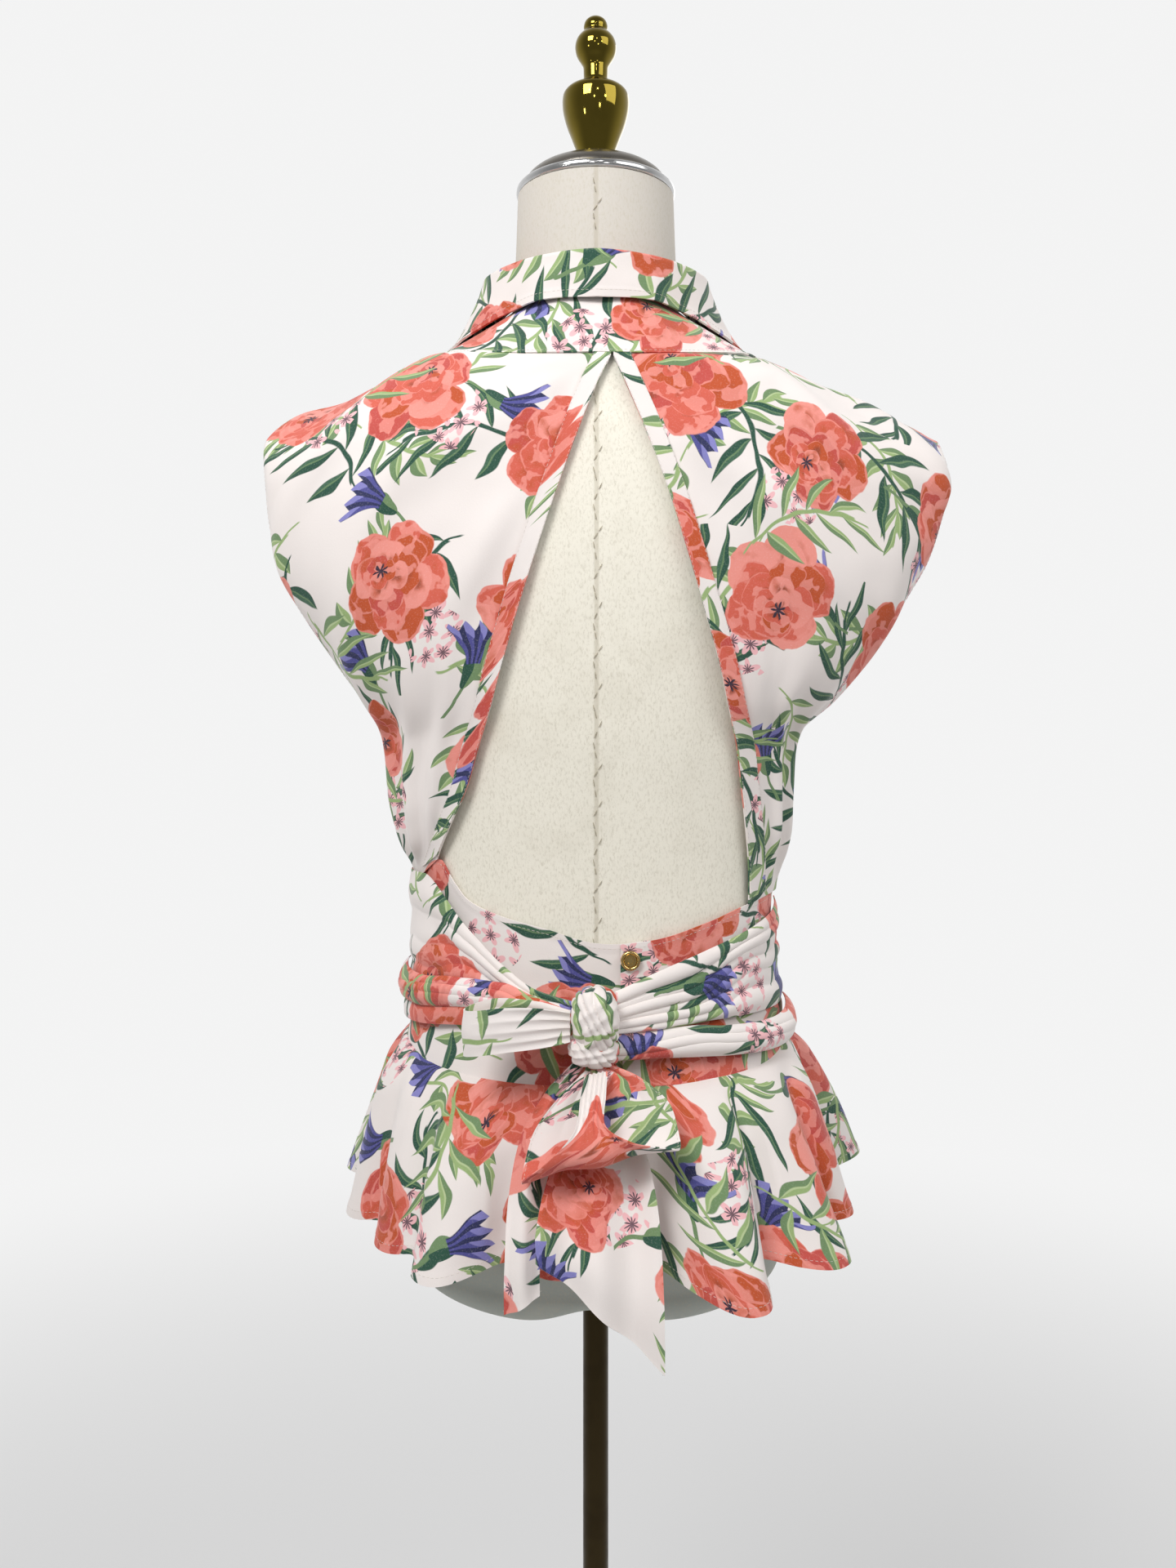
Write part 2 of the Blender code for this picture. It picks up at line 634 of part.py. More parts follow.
def bow_band(stops, width_way, wave, waves, cut=0.0, lean=0.0):
    """A band of the bow: u goes along it and v across it, with waves, a slanted far end and a lean."""
    middle = np.mean([stop[:3] for stop in stops], axis=0)

    def surface(u, v):
        centre = stack(along(stops, "x", u), along(stops, "y", u), along(stops, "z", u))
        half_width = along(stops, "half_width", u)
        out = (centre - middle) * (1 - np.abs(np.array(width_way)))
        out = out / (np.linalg.norm(out, axis=-1, keepdims=True) + 1e-9)
        if cut:
            out = stack(0 * u, -1, 0)
        across = (2 * v - 1) * half_width
        ripple = wave * np.cos(2 * np.pi * waves * (v - 0.5)) * ease(u, 0.1, 0.4)
        if not cut:
            ripple = ripple * (1 - ease(u, 0.6, 0.9))
        slant = stack(0, 0, (lean * half_width / BAND_HALF - cut * ease(u, 0.45, 1)) * (2 * v - 1))
        return centre + across[..., None] * np.array(width_way) + ripple[..., None] * out + slant

    return surface


def knot_surface(u, v):
    """The knot as a rounded lump, with the edges of its wraps as shallow folds."""
    turn, tilt = 2 * np.pi * u, np.pi * (v - 0.5)
    x = rounded(0.8, np.cos(tilt)) * rounded(0.8, np.cos(turn))
    y = rounded(0.8, np.cos(tilt)) * rounded(0.8, np.sin(turn))
    z = rounded(0.8, np.sin(tilt))
    folds = 1 - 0.07 * np.sin(9 * x + 5 * z) ** 2
    return np.array(KNOT_CENTRE) + stack(x * folds, y * folds, z) * np.array(KNOT_HALF)


def build_stand(collection):
    bronze = material("pole bronze", BRONZE, 0.45, 0.6)
    base_rim = 0.004
    turned("base_plate", (
        (0, BASE_THICK),
        (BORE_RADIUS, BASE_THICK),
        (BORE_RADIUS, SOCKET_TOP),
        (0.0150, SOCKET_TOP),
        (0.0160, SOCKET_TOP - 0.0010),
        (0.0160, BASE_THICK + 0.0060),
        (0.0200, BASE_THICK + 0.0020),
        (0.0600, BASE_THICK + 0.0010),
        (BASE_RADIUS - base_rim, BASE_THICK - 0.0010),
        (BASE_RADIUS, BASE_THICK - base_rim),
        (BASE_RADIUS, 0.0010),
        (BASE_RADIUS - 0.0010, 0),
        (0, 0),
    ), 28, bronze, collection)
    foot = BASE_THICK + SEAM_GAP
    bpy.ops.mesh.primitive_cylinder_add(
        vertices=24, radius=POLE_RADIUS, depth=POLE_TOP - foot, location=(0, 0, (POLE_TOP + foot) / 2)
    )
    pole = bpy.context.object
    pole.name = "pole"
    pole.data.materials.append(bronze)
    for owner in pole.users_collection:
        owner.objects.unlink(pole)
    collection.objects.link(pole)
    pole.data.shade_smooth()
    pole.data.set_sharp_from_angle(angle=math.radians(40))


def build_form(collection, cutters):
    cover = material("form cover", COVER_CREAM, 0.85)
    body = closed_body("form_body", form_surface, 32, 38, cover, collection)
    pocket_end = POLE_TOP + SEAM_GAP
    pocket_start = HIP_END - LOBE_DEPTH - 0.02
    bpy.ops.mesh.primitive_cylinder_add(
        vertices=24,
        radius=BORE_RADIUS,
        depth=pocket_end - pocket_start,
        location=(0, 0, (pocket_end + pocket_start) / 2),
    )
    cutter = bpy.context.object
    cutter.name = "pole_pocket"
    cutter.hide_render = True
    cutter.display_type = "WIRE"
    for owner in cutter.users_collection:
        owner.objects.unlink(cutter)
    cutters.objects.link(cutter)
    cut = body.modifiers.new("pole pocket", "BOOLEAN")
    cut.operation = "DIFFERENCE"
    cut.object = cutter


def build_neck(collection):
    """The chrome rim and the dark cap on the neck, and the turned finial above them."""
    rim_foot = NECK_TOP + SEAM_GAP
    rim_top = rim_foot + 0.005
    rim = 0.0515
    turned("neck_rim", (
        (0, rim_top),
        (rim - 0.0015, rim_top),
        (rim - 0.0004, rim_top - 0.0006),
        (rim, rim_top - 0.0020),
        (rim, rim_foot + 0.0015),
        (rim - 0.0012, rim_foot),
        (0, rim_foot),
    ), 36, material("chrome", CHROME, 0.08, 1.0), collection)
    cap_foot = rim_top + SEAM_GAP
    cap_radius, cap_rise = 0.0470, 0.0180
    turns = [math.radians(90 - 90 * i / 6) for i in range(7)]
    dome = [(cap_radius * math.cos(turn), cap_foot + cap_rise * math.sin(turn)) for turn in turns]
    dome[0] = (0, dome[0][1])
    cap = material("cap metal", DARK_METAL, 0.35, 0.9)
    turned("neck_cap", (*dome, (0, cap_foot)), 24, cap, collection)
    finial_foot = cap_foot + cap_rise + SEAM_GAP
    outline = (
        (0.0000, 0.0950),
        (0.0040, 0.0940),
        (0.0076, 0.0905),
        (0.0078, 0.0855),
        (0.0115, 0.0810),
        (0.0133, 0.0745),
        (0.0120, 0.0680),
        (0.0084, 0.0630),
        (0.0082, 0.0530),
        (0.0092, 0.0510),
        (0.0186, 0.0463),
        (0.0216, 0.0400),
        (0.0210, 0.0320),
        (0.0159, 0.0160),
        (0.0107, 0.0030),
        (0.0107, 0.0000),
        (0.0000, 0.0000),
    )
    profile = [(radius, finial_foot + height) for radius, height in outline]
    turned("finial", profile, 18, material("brass", BRASS, 0.15, 1.0), collection)


def build_bodice(collection, cloth):
    for facing, face_name in ((-1, "back"), (1, "front")):
        for side in (-1, 1):
            name = f"{face_name}_{edge_name(side)}"
            columns, rows = (10, 16) if facing < 0 else (11, 15)
            sheet(name, panel(facing, side), columns, rows, cloth, collection, flip=facing * side > 0)
    for side in (-1, 1):
        sheet(f"opening_binding_{edge_name(side)}", binding(side), 2, 24, cloth, collection, flip=side < 0)
    sheet("yoke", yoke, 20, 3, cloth, collection)
    sheet("collar", collar, 32, 10, cloth, collection, flip=True)


def build_waist(collection, cloth):
    lap = CLOTH + SEAM_GAP
    left = waistband(-90 + SEAM_ANGLE, OVERLAP_END)
    right = waistband(OVERLAP_START, 90 - SEAM_ANGLE, lap)
    front = waistband(90 + SEAM_ANGLE, 270 - SEAM_ANGLE)
    sheet("waistband_back_left", left, 15, 3, cloth, collection)
    sheet("waistband_back_right", right, 12, 3, cloth, collection)
    sheet("waistband_front", front, 24, 3, cloth, collection)
    sheet("peplum_back", peplum(-90 + SEAM_ANGLE, 90 - SEAM_ANGLE), 56, 5, cloth, collection)
    sheet("peplum_front", peplum(90 + SEAM_ANGLE, 270 - SEAM_ANGLE), 42, 5, cloth, collection)


def build_ties(collection, cloth):
    sheet("tie_left_wide", waist_tie(TIE_LEFT_WIDE, TIE_LAYER, 3, PLEAT), 14, 8, cloth, collection)
    sheet("tie_right_wide", waist_tie(TIE_RIGHT_WIDE, TIE_LAYER, 3, PLEAT), 14, 8, cloth, collection)
    rolls = (("tie_left_round", TIE_LEFT_ROUND), ("tie_right_round", TIE_RIGHT_ROUND))
    for name, table in rolls:
        sheet(name, waist_tie(table, ROLL_LAYER, 1, 0.0, ROLL_HEIGHT), 16, 4, cloth, collection)
    sheet("tie_front", waist_tie(TIE_FRONT, TIE_LAYER, 2, PLEAT), 20, 4, cloth, collection)


def build_bow(collection, cloth):
    closed_body("knot", knot_surface, 20, 10, cloth, collection)
    bands = (
        ("loop_left", bow_band(LOOP_LEFT, (0, 0, 1), 0.0006, 1), 22, 4, True),
        ("loop_right", bow_band(LOOP_RIGHT, (1, 0, 0), 0.0012, 2, lean=LOOP_RIGHT_LEAN), 20, 6, False),
        ("tail_left", bow_band(TAIL_LEFT, (1, 0, 0), 0.0025, 1, TAIL_LEFT_CUT), 12, 4, True),
        ("tail_right", bow_band(TAIL_RIGHT, (1, 0, 0), 0.0035, 2, TAIL_RIGHT_CUT), 12, 9, True),
    )
    for name, surface, columns, rows, flip in bands:
        sheet(name, surface, columns, rows, cloth, collection, flip=flip)


def build_button(collection):
    """A plain ring button on the overlap, turned about an axis that leans out with the waistband."""
    thick = 0.0022
    radius = BUTTON_RADIUS
    button = turned("button", (
        (0, 0.55 * thick),
        (0.62 * radius, 0.55 * thick),
        (0.70 * radius, 0.95 * thick),
        (0.82 * radius, thick),
        (0.95 * radius, 0.85 * thick),
        (radius, 0.50 * thick),
        (0.95 * radius, 0.10 * thick),
        (0.85 * radius, 0),
        (0, 0),
    ), 18, material("button metal", BRASS, 0.25, 1.0), collection)
    lift = BAND_LAYER + 2 * CLOTH + 3 * SEAM_GAP
    button.location = on_form(np.array(BUTTON_ANGLE), np.array(BUTTON_HEIGHT), lift)
    button.rotation_euler = (math.radians(90), 0, 0)


def main():
    for obj in list(bpy.data.objects):
        bpy.data.objects.remove(obj)
    top = bpy.data.collections.new("peplum top on dress form")
    cutters = bpy.data.collections.new("cutters")
    bpy.context.scene.collection.children.link(top)
    bpy.context.scene.collection.children.link(cutters)
    cloth = material("printed cloth", PRINT_BASE, 0.8)
    build_stand(top)
    build_form(top, cutters)
    build_neck(top)
    build_bodice(top, cloth)
    build_waist(top, cloth)
    build_ties(top, cloth)
    build_bow(top, cloth)
    build_button(top)


main()
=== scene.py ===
"""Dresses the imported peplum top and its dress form: cloth, print, seams, stand, light and camera.

Metres, +Z up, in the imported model's frame. Angles go round the body in degrees from the centre back,
positive towards +X. The garment's back faces -Y.
"""

from __future__ import annotations

import logging
import math
from dataclasses import dataclass, field
from enum import Enum
from typing import Any, Callable, NamedTuple, Sequence

import bpy
import numpy as np
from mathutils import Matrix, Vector

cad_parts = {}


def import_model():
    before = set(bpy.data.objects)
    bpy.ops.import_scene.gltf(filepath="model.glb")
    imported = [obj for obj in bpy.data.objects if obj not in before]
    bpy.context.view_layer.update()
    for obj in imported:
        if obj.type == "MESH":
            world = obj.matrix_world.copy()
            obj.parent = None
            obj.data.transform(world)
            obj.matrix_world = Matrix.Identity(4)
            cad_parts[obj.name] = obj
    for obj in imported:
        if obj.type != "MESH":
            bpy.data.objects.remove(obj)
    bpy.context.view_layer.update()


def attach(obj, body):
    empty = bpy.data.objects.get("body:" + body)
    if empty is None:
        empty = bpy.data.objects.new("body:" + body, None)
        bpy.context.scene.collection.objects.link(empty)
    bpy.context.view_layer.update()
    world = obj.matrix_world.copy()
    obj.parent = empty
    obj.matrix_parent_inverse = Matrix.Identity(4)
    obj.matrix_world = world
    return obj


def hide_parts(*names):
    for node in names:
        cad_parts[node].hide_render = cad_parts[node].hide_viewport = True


LOG = logging.getLogger("peplum_top")
Array = np.ndarray
Surface = Callable[[Array, Array], Array]
Colour = tuple[float, float, float, float]
Point = tuple[float, float, float]

CLOTH = 0.0012
SEAM_GAP = 0.0004
STITCHED_GAP = 0.0001
FABRIC = 0.0007
BORE_GAP = 0.0003
HEM_SLOPE = 0.0006
STITCH_INSET = 0.0014
PRINT_MAP = "print"
FULL_TURN = 6.2832


def curve(keys: Array, values: Array, slopes: Array, at: Array) -> Array:
    """Reads a smooth curve through values at keys, with a given slope at each."""
    at = np.clip(at, keys[0], keys[-1])
    i = np.clip(np.searchsorted(keys, at, side="right") - 1, 0, len(keys) - 2)
    step = keys[i + 1] - keys[i]
    t = (at - keys[i]) / step
    rise = t * t * (3 - 2 * t)
    start_pull = t * (1 - t) ** 2 * step * slopes[i]
    end_pull = t * t * (t - 1) * step * slopes[i + 1]
    return values[i] + rise * (values[i + 1] - values[i]) + start_pull + end_pull


def read(table: Sequence[Any], name: str, at: Array) -> Array:
    """Reads a named column at values of the table's first column, with no overshoot between rows."""
    keys = np.array([row[0] for row in table], float)
    values = np.array([getattr(row, name) for row in table], float)
    rates = np.diff(values) / np.diff(keys)
    slopes = np.concatenate(([rates[0]], np.zeros(len(keys) - 2), [rates[-1]]))
    before, after = rates[:-1], rates[1:]
    same_way = before * after > 0
    slopes[1:-1][same_way] = 2 * (before * after)[same_way] / (before + after)[same_way]
    return curve(keys, values, slopes, at)


def along(stops: Sequence[Any], name: str, share: Array) -> Array:
    """Reads a named value at a share of the way along a row of stops."""
    values = np.array([getattr(stop, name) for stop in stops], float)
    return curve(np.arange(len(stops)), values, np.gradient(values), share * (len(stops) - 1))


def mix(a: Any, b: Any, share: Any) -> Any:
    """Goes from a to b."""
    return a + (b - a) * share


def ease(value: Any, start: float, end: float) -> Array:
    """Goes smoothly from 0 at start to 1 at end."""
    t = np.clip((value - start) / (end - start), 0, 1)
    return t * t * (3 - 2 * t)


def stack(x: Any, y: Any, z: Any) -> Array:
    """Joins three arrays as points."""
    return np.stack(np.broadcast_arrays(x, y, z), axis=-1)


def rounded(power: Any, turn: Any) -> Array:
    """Bends sine or cosine values to a section's squareness."""
    return np.sign(turn) * np.abs(turn) ** power


def centred(angle: Any) -> Any:
    """Brings an angle to between -180 and 180 degrees."""
    return (angle + 180) % 360 - 180


def unit(vectors: Array) -> Array:
    """Gives vectors the length 1."""
    return vectors / (np.linalg.norm(vectors, axis=-1, keepdims=True) + 1e-12)


def creases(u: Array, v: Array, seed: int, waves: int, finest: float, slant: float = 0.0) -> Array:
    """Sums seeded soft waves over a piece, for the small unevenness that hung cloth has.

    Args:
        u: Place along the piece, in metres.
        v: Place up the piece, in metres.
        seed: Seed of the waves' directions and phases.
        waves: How many waves.
        finest: Shortest wave, in metres.
        slant: Mean direction of the creases, in radians from the u axis.

    Returns:
        Values from 0 to about 1.
    """
    rng = np.random.default_rng(seed)
    total = np.zeros(np.broadcast(u, v).shape)
    for _ in range(waves):
        turn = slant + rng.normal(0, 0.45)
        length = finest * rng.uniform(1.0, 3.0)
        phase = rng.uniform(0, 2 * np.pi)
        across = -u * np.sin(turn) + v * np.cos(turn)
        bend = 0.35 * np.sin(2 * np.pi * (u * np.cos(turn) + v * np.sin(turn)) / (3 * length) + phase * 2)
        total = total + (0.5 + 0.5 * np.sin(2 * np.pi * across / length + phase + bend)) ** 2
    return total / waves


def soft_folds(
    height: float, size: tuple[float, float], seed: int, waves: int, finest: float, slant: float = 0.0,
    fade: tuple[float, float] | None = None, top_fade: float = 0.0,
) -> Surface:
    """Makes one piece's own unevenness.

    Args:
        height: The folds' height, in metres.
        size: The piece's width and height, in metres.
        seed: Seed of the folds.
        waves: How many waves are summed.
        finest: Shortest wave, in metres.
        slant: Mean direction of the folds, in radians.
        fade: Between which shares of the way up the folds grow from nothing.
        top_fade: The share below the top over which they die away.

    Returns:
        The folds' height at u and v.
    """

    def folds(u: Array, v: Array) -> Array:
        """The folds' height."""
        rise = height * creases(size[0] * u, size[1] * v, seed, waves, finest, slant)
        if fade is not None:
            rise = rise * ease(v, *fade)
        if top_fade:
            rise = rise * ease(1 - v, 0, top_fade)
        return rise

    return folds


class Wire:
    """A shader socket that can be calculated with: each operator adds a Math node."""

    def __init__(self, graph: "Graph", socket: bpy.types.NodeSocket) -> None:
        """Keeps the socket and the graph that it is in."""
        self.graph = graph
        self.socket = socket

    def math(self, operation: str, *others: "Wire | float") -> "Wire":
        """Adds a Math node on this value and others."""
        return self.graph.math(operation, self, *others)

    def __add__(self, other: "Wire | float") -> "Wire":
        """Adds."""
        return self.math("ADD", other)

    __radd__ = __add__

    def __sub__(self, other: "Wire | float") -> "Wire":
        """Subtracts."""
        return self.math("SUBTRACT", other)

    def __rsub__(self, other: float) -> "Wire":
        """Subtracts this value from a number."""
        return self.graph.math("SUBTRACT", other, self)

    def __mul__(self, other: "Wire | float") -> "Wire":
        """Multiplies."""
        return self.math("MULTIPLY", other)

    __rmul__ = __mul__

    def __truediv__(self, other: "Wire | float") -> "Wire":
        """Divides."""
        return self.math("DIVIDE", other)

    def __rtruediv__(self, other: float) -> "Wire":
        """Divides a number by this value."""
        return self.graph.math("DIVIDE", other, self)

    def __pow__(self, other: float) -> "Wire":
        """Raises to a power."""
        return self.math("POWER", other)

    def __abs__(self) -> "Wire":
        """Drops the sign."""
        return self.math("ABSOLUTE")

    def above(self, limit: "Wire | float") -> "Wire":
        """Is 1 where this value is above a limit."""
        return self.math("GREATER_THAN", limit)

    def below(self, limit: "Wire | float") -> "Wire":
        """Is 1 where this value is below a limit."""
        return self.math("LESS_THAN", limit)

    def ease(self, start: float, end: float) -> "Wire":
        """Goes smoothly from 0 at start to 1 at end."""
        sockets = {0: self, 1: start, 2: end, 3: 0.0, 4: 1.0}
        return self.graph.add("ShaderNodeMapRange", {"interpolation_type": "SMOOTHSTEP"}, sockets)


class Graph:
    """A material's nodes, made from expressions."""

    def __init__(self, name: str) -> None:
        """Makes a material with its Principled shader."""
        self.material = bpy.data.materials.new(name)
        self.material.use_nodes = True
        self.tree = self.material.node_tree
        self.shader = self.tree.nodes["Principled BSDF"]

    def add(
        self, kind: str, settings: dict[str, Any], sockets: dict[Any, Any], output: int | str = 0
    ) -> Wire:
        """Adds a node.

        Args:
            kind: The node's type.
            settings: Its settings, or a ramp's stops as (place, colour) under "stops".
            sockets: Values or wires of its inputs, by name or number.
            output: The output that is returned.

        Returns:
            The output as a wire.
        """
        node = self.tree.nodes.new(kind)
        for name, value in settings.items():
            if name == "stops":
                self.set_stops(node.color_ramp, value)
            else:
                setattr(node, name, value)
        for name, value in sockets.items():
            if isinstance(value, Wire):
                self.tree.links.new(value.socket, node.inputs[name])
            else:
                node.inputs[name].default_value = value
        return Wire(self, node.outputs[output])

    def set_stops(self, ramp: bpy.types.ColorRamp, stops: Sequence[tuple[float, Any]]) -> None:
        """Gives a ramp flat steps of colour."""
        ramp.interpolation = "CONSTANT"
        while len(ramp.elements) < len(stops):
            ramp.elements.new(0.5)
        for element, (place, _) in zip(ramp.elements, stops):
            element.position = place
        for element, (_, colour) in zip(ramp.elements, stops):
            element.color = colour

    def math(self, operation: str, *values: Wire | float) -> Wire:
        """Adds a Math node."""
        return self.add("ShaderNodeMath", {"operation": operation}, dict(enumerate(values)))

    def vector(self, operation: str, *values: Any) -> Wire:
        """Adds a Vector Math node."""
        return self.add("ShaderNodeVectorMath", {"operation": operation}, dict(enumerate(values)))

    def paint(self, under: Any, over: Any, mask: Any) -> Wire:
        """Lays one colour over another where a mask is 1."""
        return self.add("ShaderNodeMix", {"data_type": "RGBA"}, {0: mask, 6: under, 7: over}, 2)

    def noise(self, at: Wire, scale: float, detail: float, roughness: float = 0.5) -> Wire:
        """Adds a Noise Texture node."""
        sockets = {"Vector": at, "Scale": scale, "Detail": detail, "Roughness": roughness}
        return self.add("ShaderNodeTexNoise", {}, sockets)

    def bump(self, height: Wire, strength: float, distance: float) -> Wire:
        """Adds a Bump node."""
        sockets = {"Strength": strength, "Distance": distance, "Height": height}
        return self.add("ShaderNodeBump", {}, sockets, "Normal")

    def split(self, vector: Wire) -> tuple[Wire, Wire]:
        """Gives a vector's x and y."""
        x = self.add("ShaderNodeSeparateXYZ", {}, {0: vector})
        return x, Wire(self, x.socket.node.outputs[1])

    def shade(self, **sockets: Any) -> None:
        """Sets the shader's sockets, with underlines for the spaces in their names."""
        for name, value in sockets.items():
            socket = self.shader.inputs[name.replace("_", " ").title().replace("Ior", "IOR")]
            if isinstance(value, Wire):
                self.tree.links.new(value.socket, socket)
            else:
                socket.default_value = value


def srgb(red: int, green: int, blue: int) -> Colour:
    """Turns an sRGB colour of 0 to 255 into a linear one."""
    linear = [((c / 255 + 0.055) / 1.055) ** 2.4 if c > 10 else c / 255 / 12.92 for c in (red, green, blue)]
    return (linear[0], linear[1], linear[2], 1.0)


@dataclass(frozen=True)
class Lattice:
    """Where one kind of motif stands on the print: the spacing in metres, its looseness and its shift."""

    spacing: float
    looseness: float
    shift: Point


class Leaf(NamedTuple):
    """A leaf of a spray: where it leaves the stem, its slant in degrees, its length and half width."""

    place: float
    slant: float
    length: float
    width: float


class PetalRing(NamedTuple):
    """A ring of a peony's petals: its share of the radius, its petals, its rise and its turn."""

    share: float
    petals: int
    raised: float
    phase: float


LONG_LEAVES = (
    Leaf(-0.78, 62, 0.80, 0.105), Leaf(-0.38, 50, 0.86, 0.100),
    Leaf(0.02, 38, 0.78, 0.095), Leaf(0.42, 18, 0.66, 0.10),
)
SHORT_LEAVES = (
    Leaf(-0.74, 66, 0.52, 0.17), Leaf(-0.40, 58, 0.60, 0.16), Leaf(-0.04, 50, 0.56, 0.16),
    Leaf(0.28, 38, 0.46, 0.17), Leaf(0.50, 12, 0.42, 0.18),
)
PETAL_RINGS = (
    PetalRing(1.0, 5, 0.0, 0.3), PetalRing(0.80, 5, 0.10, 2.1), PetalRing(0.62, 4, 0.20, 4.0),
    PetalRing(0.44, 4, 0.28, 0.9), PetalRing(0.27, 3, 0.34, 2.7),
)


@dataclass(frozen=True)
class PrintedCloth:
    """Crepe printed with peonies, bell flowers, blossoms and leaf sprays on a warm white ground."""

    ground: Colour = srgb(238, 230, 226)
    coral: Colour = srgb(212, 98, 80)
    coral_light: Colour = srgb(235, 148, 136)
    rose: Colour = srgb(196, 82, 74)
    rust: Colour = srgb(192, 84, 46)
    brick: Colour = srgb(142, 64, 42)
    ink: Colour = srgb(58, 42, 58)
    pine: Colour = srgb(44, 82, 66)
    fern: Colour = srgb(66, 102, 80)
    moss: Colour = srgb(112, 140, 98)
    sage: Colour = srgb(152, 176, 118)
    pale_leaf: Colour = srgb(190, 204, 158)
    navy: Colour = srgb(46, 50, 88)
    violet: Colour = srgb(80, 80, 146)
    lilac: Colour = srgb(134, 132, 194)
    blossom: Colour = srgb(240, 186, 190)
    roughness: float = 0.78

    def cells(self, g: Graph, at: Wire, lattice: Lattice) -> tuple[Wire, Wire]:
        """Finds the nearest motif's place.

        Args:
            g: The graph.
            at: The place on the print, in metres.
            lattice: The motif's lattice.

        Returns:
            The place within the motif in metres, and the motif's own random colour.
        """
        spread = g.vector("ADD", g.vector("SCALE", at), lattice.shift)
        spread.socket.node.inputs[0].links[0].from_node.inputs["Scale"].default_value = 1 / lattice.spacing
        sockets = {"Vector": spread, "Scale": 1.0, "Randomness": lattice.looseness}
        chance = g.add("ShaderNodeTexVoronoi", {"voronoi_dimensions": "2D"}, sockets, "Color")
        centre = Wire(g, chance.socket.node.outputs["Position"])
        local = g.vector("SCALE", g.vector("SUBTRACT", spread, centre))
        local.socket.node.inputs["Scale"].default_value = lattice.spacing
        return local, chance

    def turned(self, g: Graph, local: Wire, chance: Wire) -> tuple[Wire, Wire, Wire]:
        """Turns a motif by its own chance, and gives x, y and one more chance."""
        first = g.add("ShaderNodeSeparateXYZ", {}, {0: chance})
        second = Wire(g, first.socket.node.outputs[1])
        sockets = {"Vector": local, "Angle": first * FULL_TURN}
        x, y = g.split(g.add("ShaderNodeVectorRotate", {"rotation_type": "Z_AXIS"}, sockets))
        return x, y, second

    def peony(self, g: Graph, under: Wire, at: Wire, lattice: Lattice, size: float) -> Wire:
        """Paints a peony of rings of petals over what is under it."""
        local, chance = self.cells(g, at, lattice)
        x, y, second = self.turned(g, local, chance)
        wobble = g.noise(at, 95.0, 2.0)
        radius = size * (0.86 + 0.2 * second)
        shown = under
        for ring, (share, petals, raised, phase) in enumerate(PETAL_RINGS):
            px, py = x / radius, y / radius - raised
            reach = g.math("SQRT", px * px + py * py) + 0.13 * (wobble - 0.5)
            round_way = g.math("ARCTAN2", py, px) * (petals / (2 * math.pi)) + phase + second * 3
            petal = g.math("FLOOR", round_way)
            across = abs(round_way - petal - 0.5) * 2
            rim = share * (1.02 - 0.26 * across**3.0)
            inside = (reach - rim).ease(0.012, -0.012)
            pick = g.add("ShaderNodeTexWhiteNoise", {"noise_dimensions": "2D"}, {"Vector": g.add(
                "ShaderNodeCombineXYZ", {}, {0: petal + ring * 7.3, 1: second * 9}
            )})
            tints = (self.coral, self.rust, self.coral_light, self.coral, self.rose)
            stops = [(i / 5, tints[(i + ring) % 5]) for i in range(5)]
            tint = g.add("ShaderNodeValToRGB", {"stops": stops}, {0: pick})
            depth = reach / rim
            wash = (wobble * 0.9 + 0.35 * depth + 0.25 * second).ease(0.85, 0.55)
            tint = g.paint(tint, self.rust, wash * 0.75)
            shadow = (depth + 0.3 * across + 0.6 * (wobble - 0.5)).ease(0.78, 0.5)
            tint = g.paint(tint, self.brick, shadow * (0.85 if ring % 2 else 0.6))
            glow = (wobble + 0.35 * (1 - across) - 0.25 * depth).ease(0.56, 0.60)
            tint = g.paint(tint, self.coral_light, glow * 0.75)
            edge = (depth + 0.3 * (wobble - 0.5)).ease(0.93, 0.96)
            tint = g.paint(tint, self.coral_light, edge * 0.7)
            shown = g.paint(shown, tint, inside)
        px, py = x / radius, y / radius - 0.36
        reach = g.math("SQRT", px * px + py * py)
        rays = g.math("SINE", g.math("ARCTAN2", py, px) * 7 + wobble * 16)
        return g.paint(shown, self.ink, (reach - 0.085 - 0.05 * rays).ease(0.015, -0.015))

    def bell(self, g: Graph, under: Wire, at: Wire, lattice: Lattice, size: float) -> Wire:
        """Paints a bell flower with its calyx and stem."""
        local, chance = self.cells(g, at, lattice)
        x, y, second = self.turned(g, local, chance)
        x, y = x / size, y / size
        kept = second.above(0.18)
        lean = x - 0.22 * y * y
        teeth = abs(g.math("FRACT", lean * 2.4 + 0.3) - 0.5)
        stem = (abs(lean) - 0.05).ease(0.02, 0.0) * (y + 0.35).ease(0.02, -0.02)
        stem = stem * (y + 1.75).ease(-0.02, 0.02)
        shown = g.paint(under, self.moss, stem * kept)
        calyx = lean * lean * 13 + (y + 0.42) * (y + 0.42) * 4.2
        calyx_tint = g.paint(self.pine, self.moss, lean.below(-0.02))
        shown = g.paint(shown, calyx_tint, (calyx - 1).ease(0.05, -0.05) * kept)
        half = 0.2 + 0.62 * y.ease(-0.35, 0.95)
        body = (abs(lean) - half).ease(0.02, -0.02) * (y + 0.28).ease(-0.02, 0.02)
        body = body * (y - 0.62 - 0.62 * teeth).ease(0.02, -0.02)
        stripes = g.math("FRACT", lean / half * 1.9 + 0.15)
        tint = g.paint(self.navy, self.violet, (stripes - 0.5).ease(-0.04, 0.04))
        pale = (y - 0.35 - 0.5 * abs(stripes - 0.5)).ease(-0.03, 0.03) * stripes.above(0.42)
        tint = g.paint(tint, self.lilac, pale)
        return g.paint(shown, tint, body * kept)

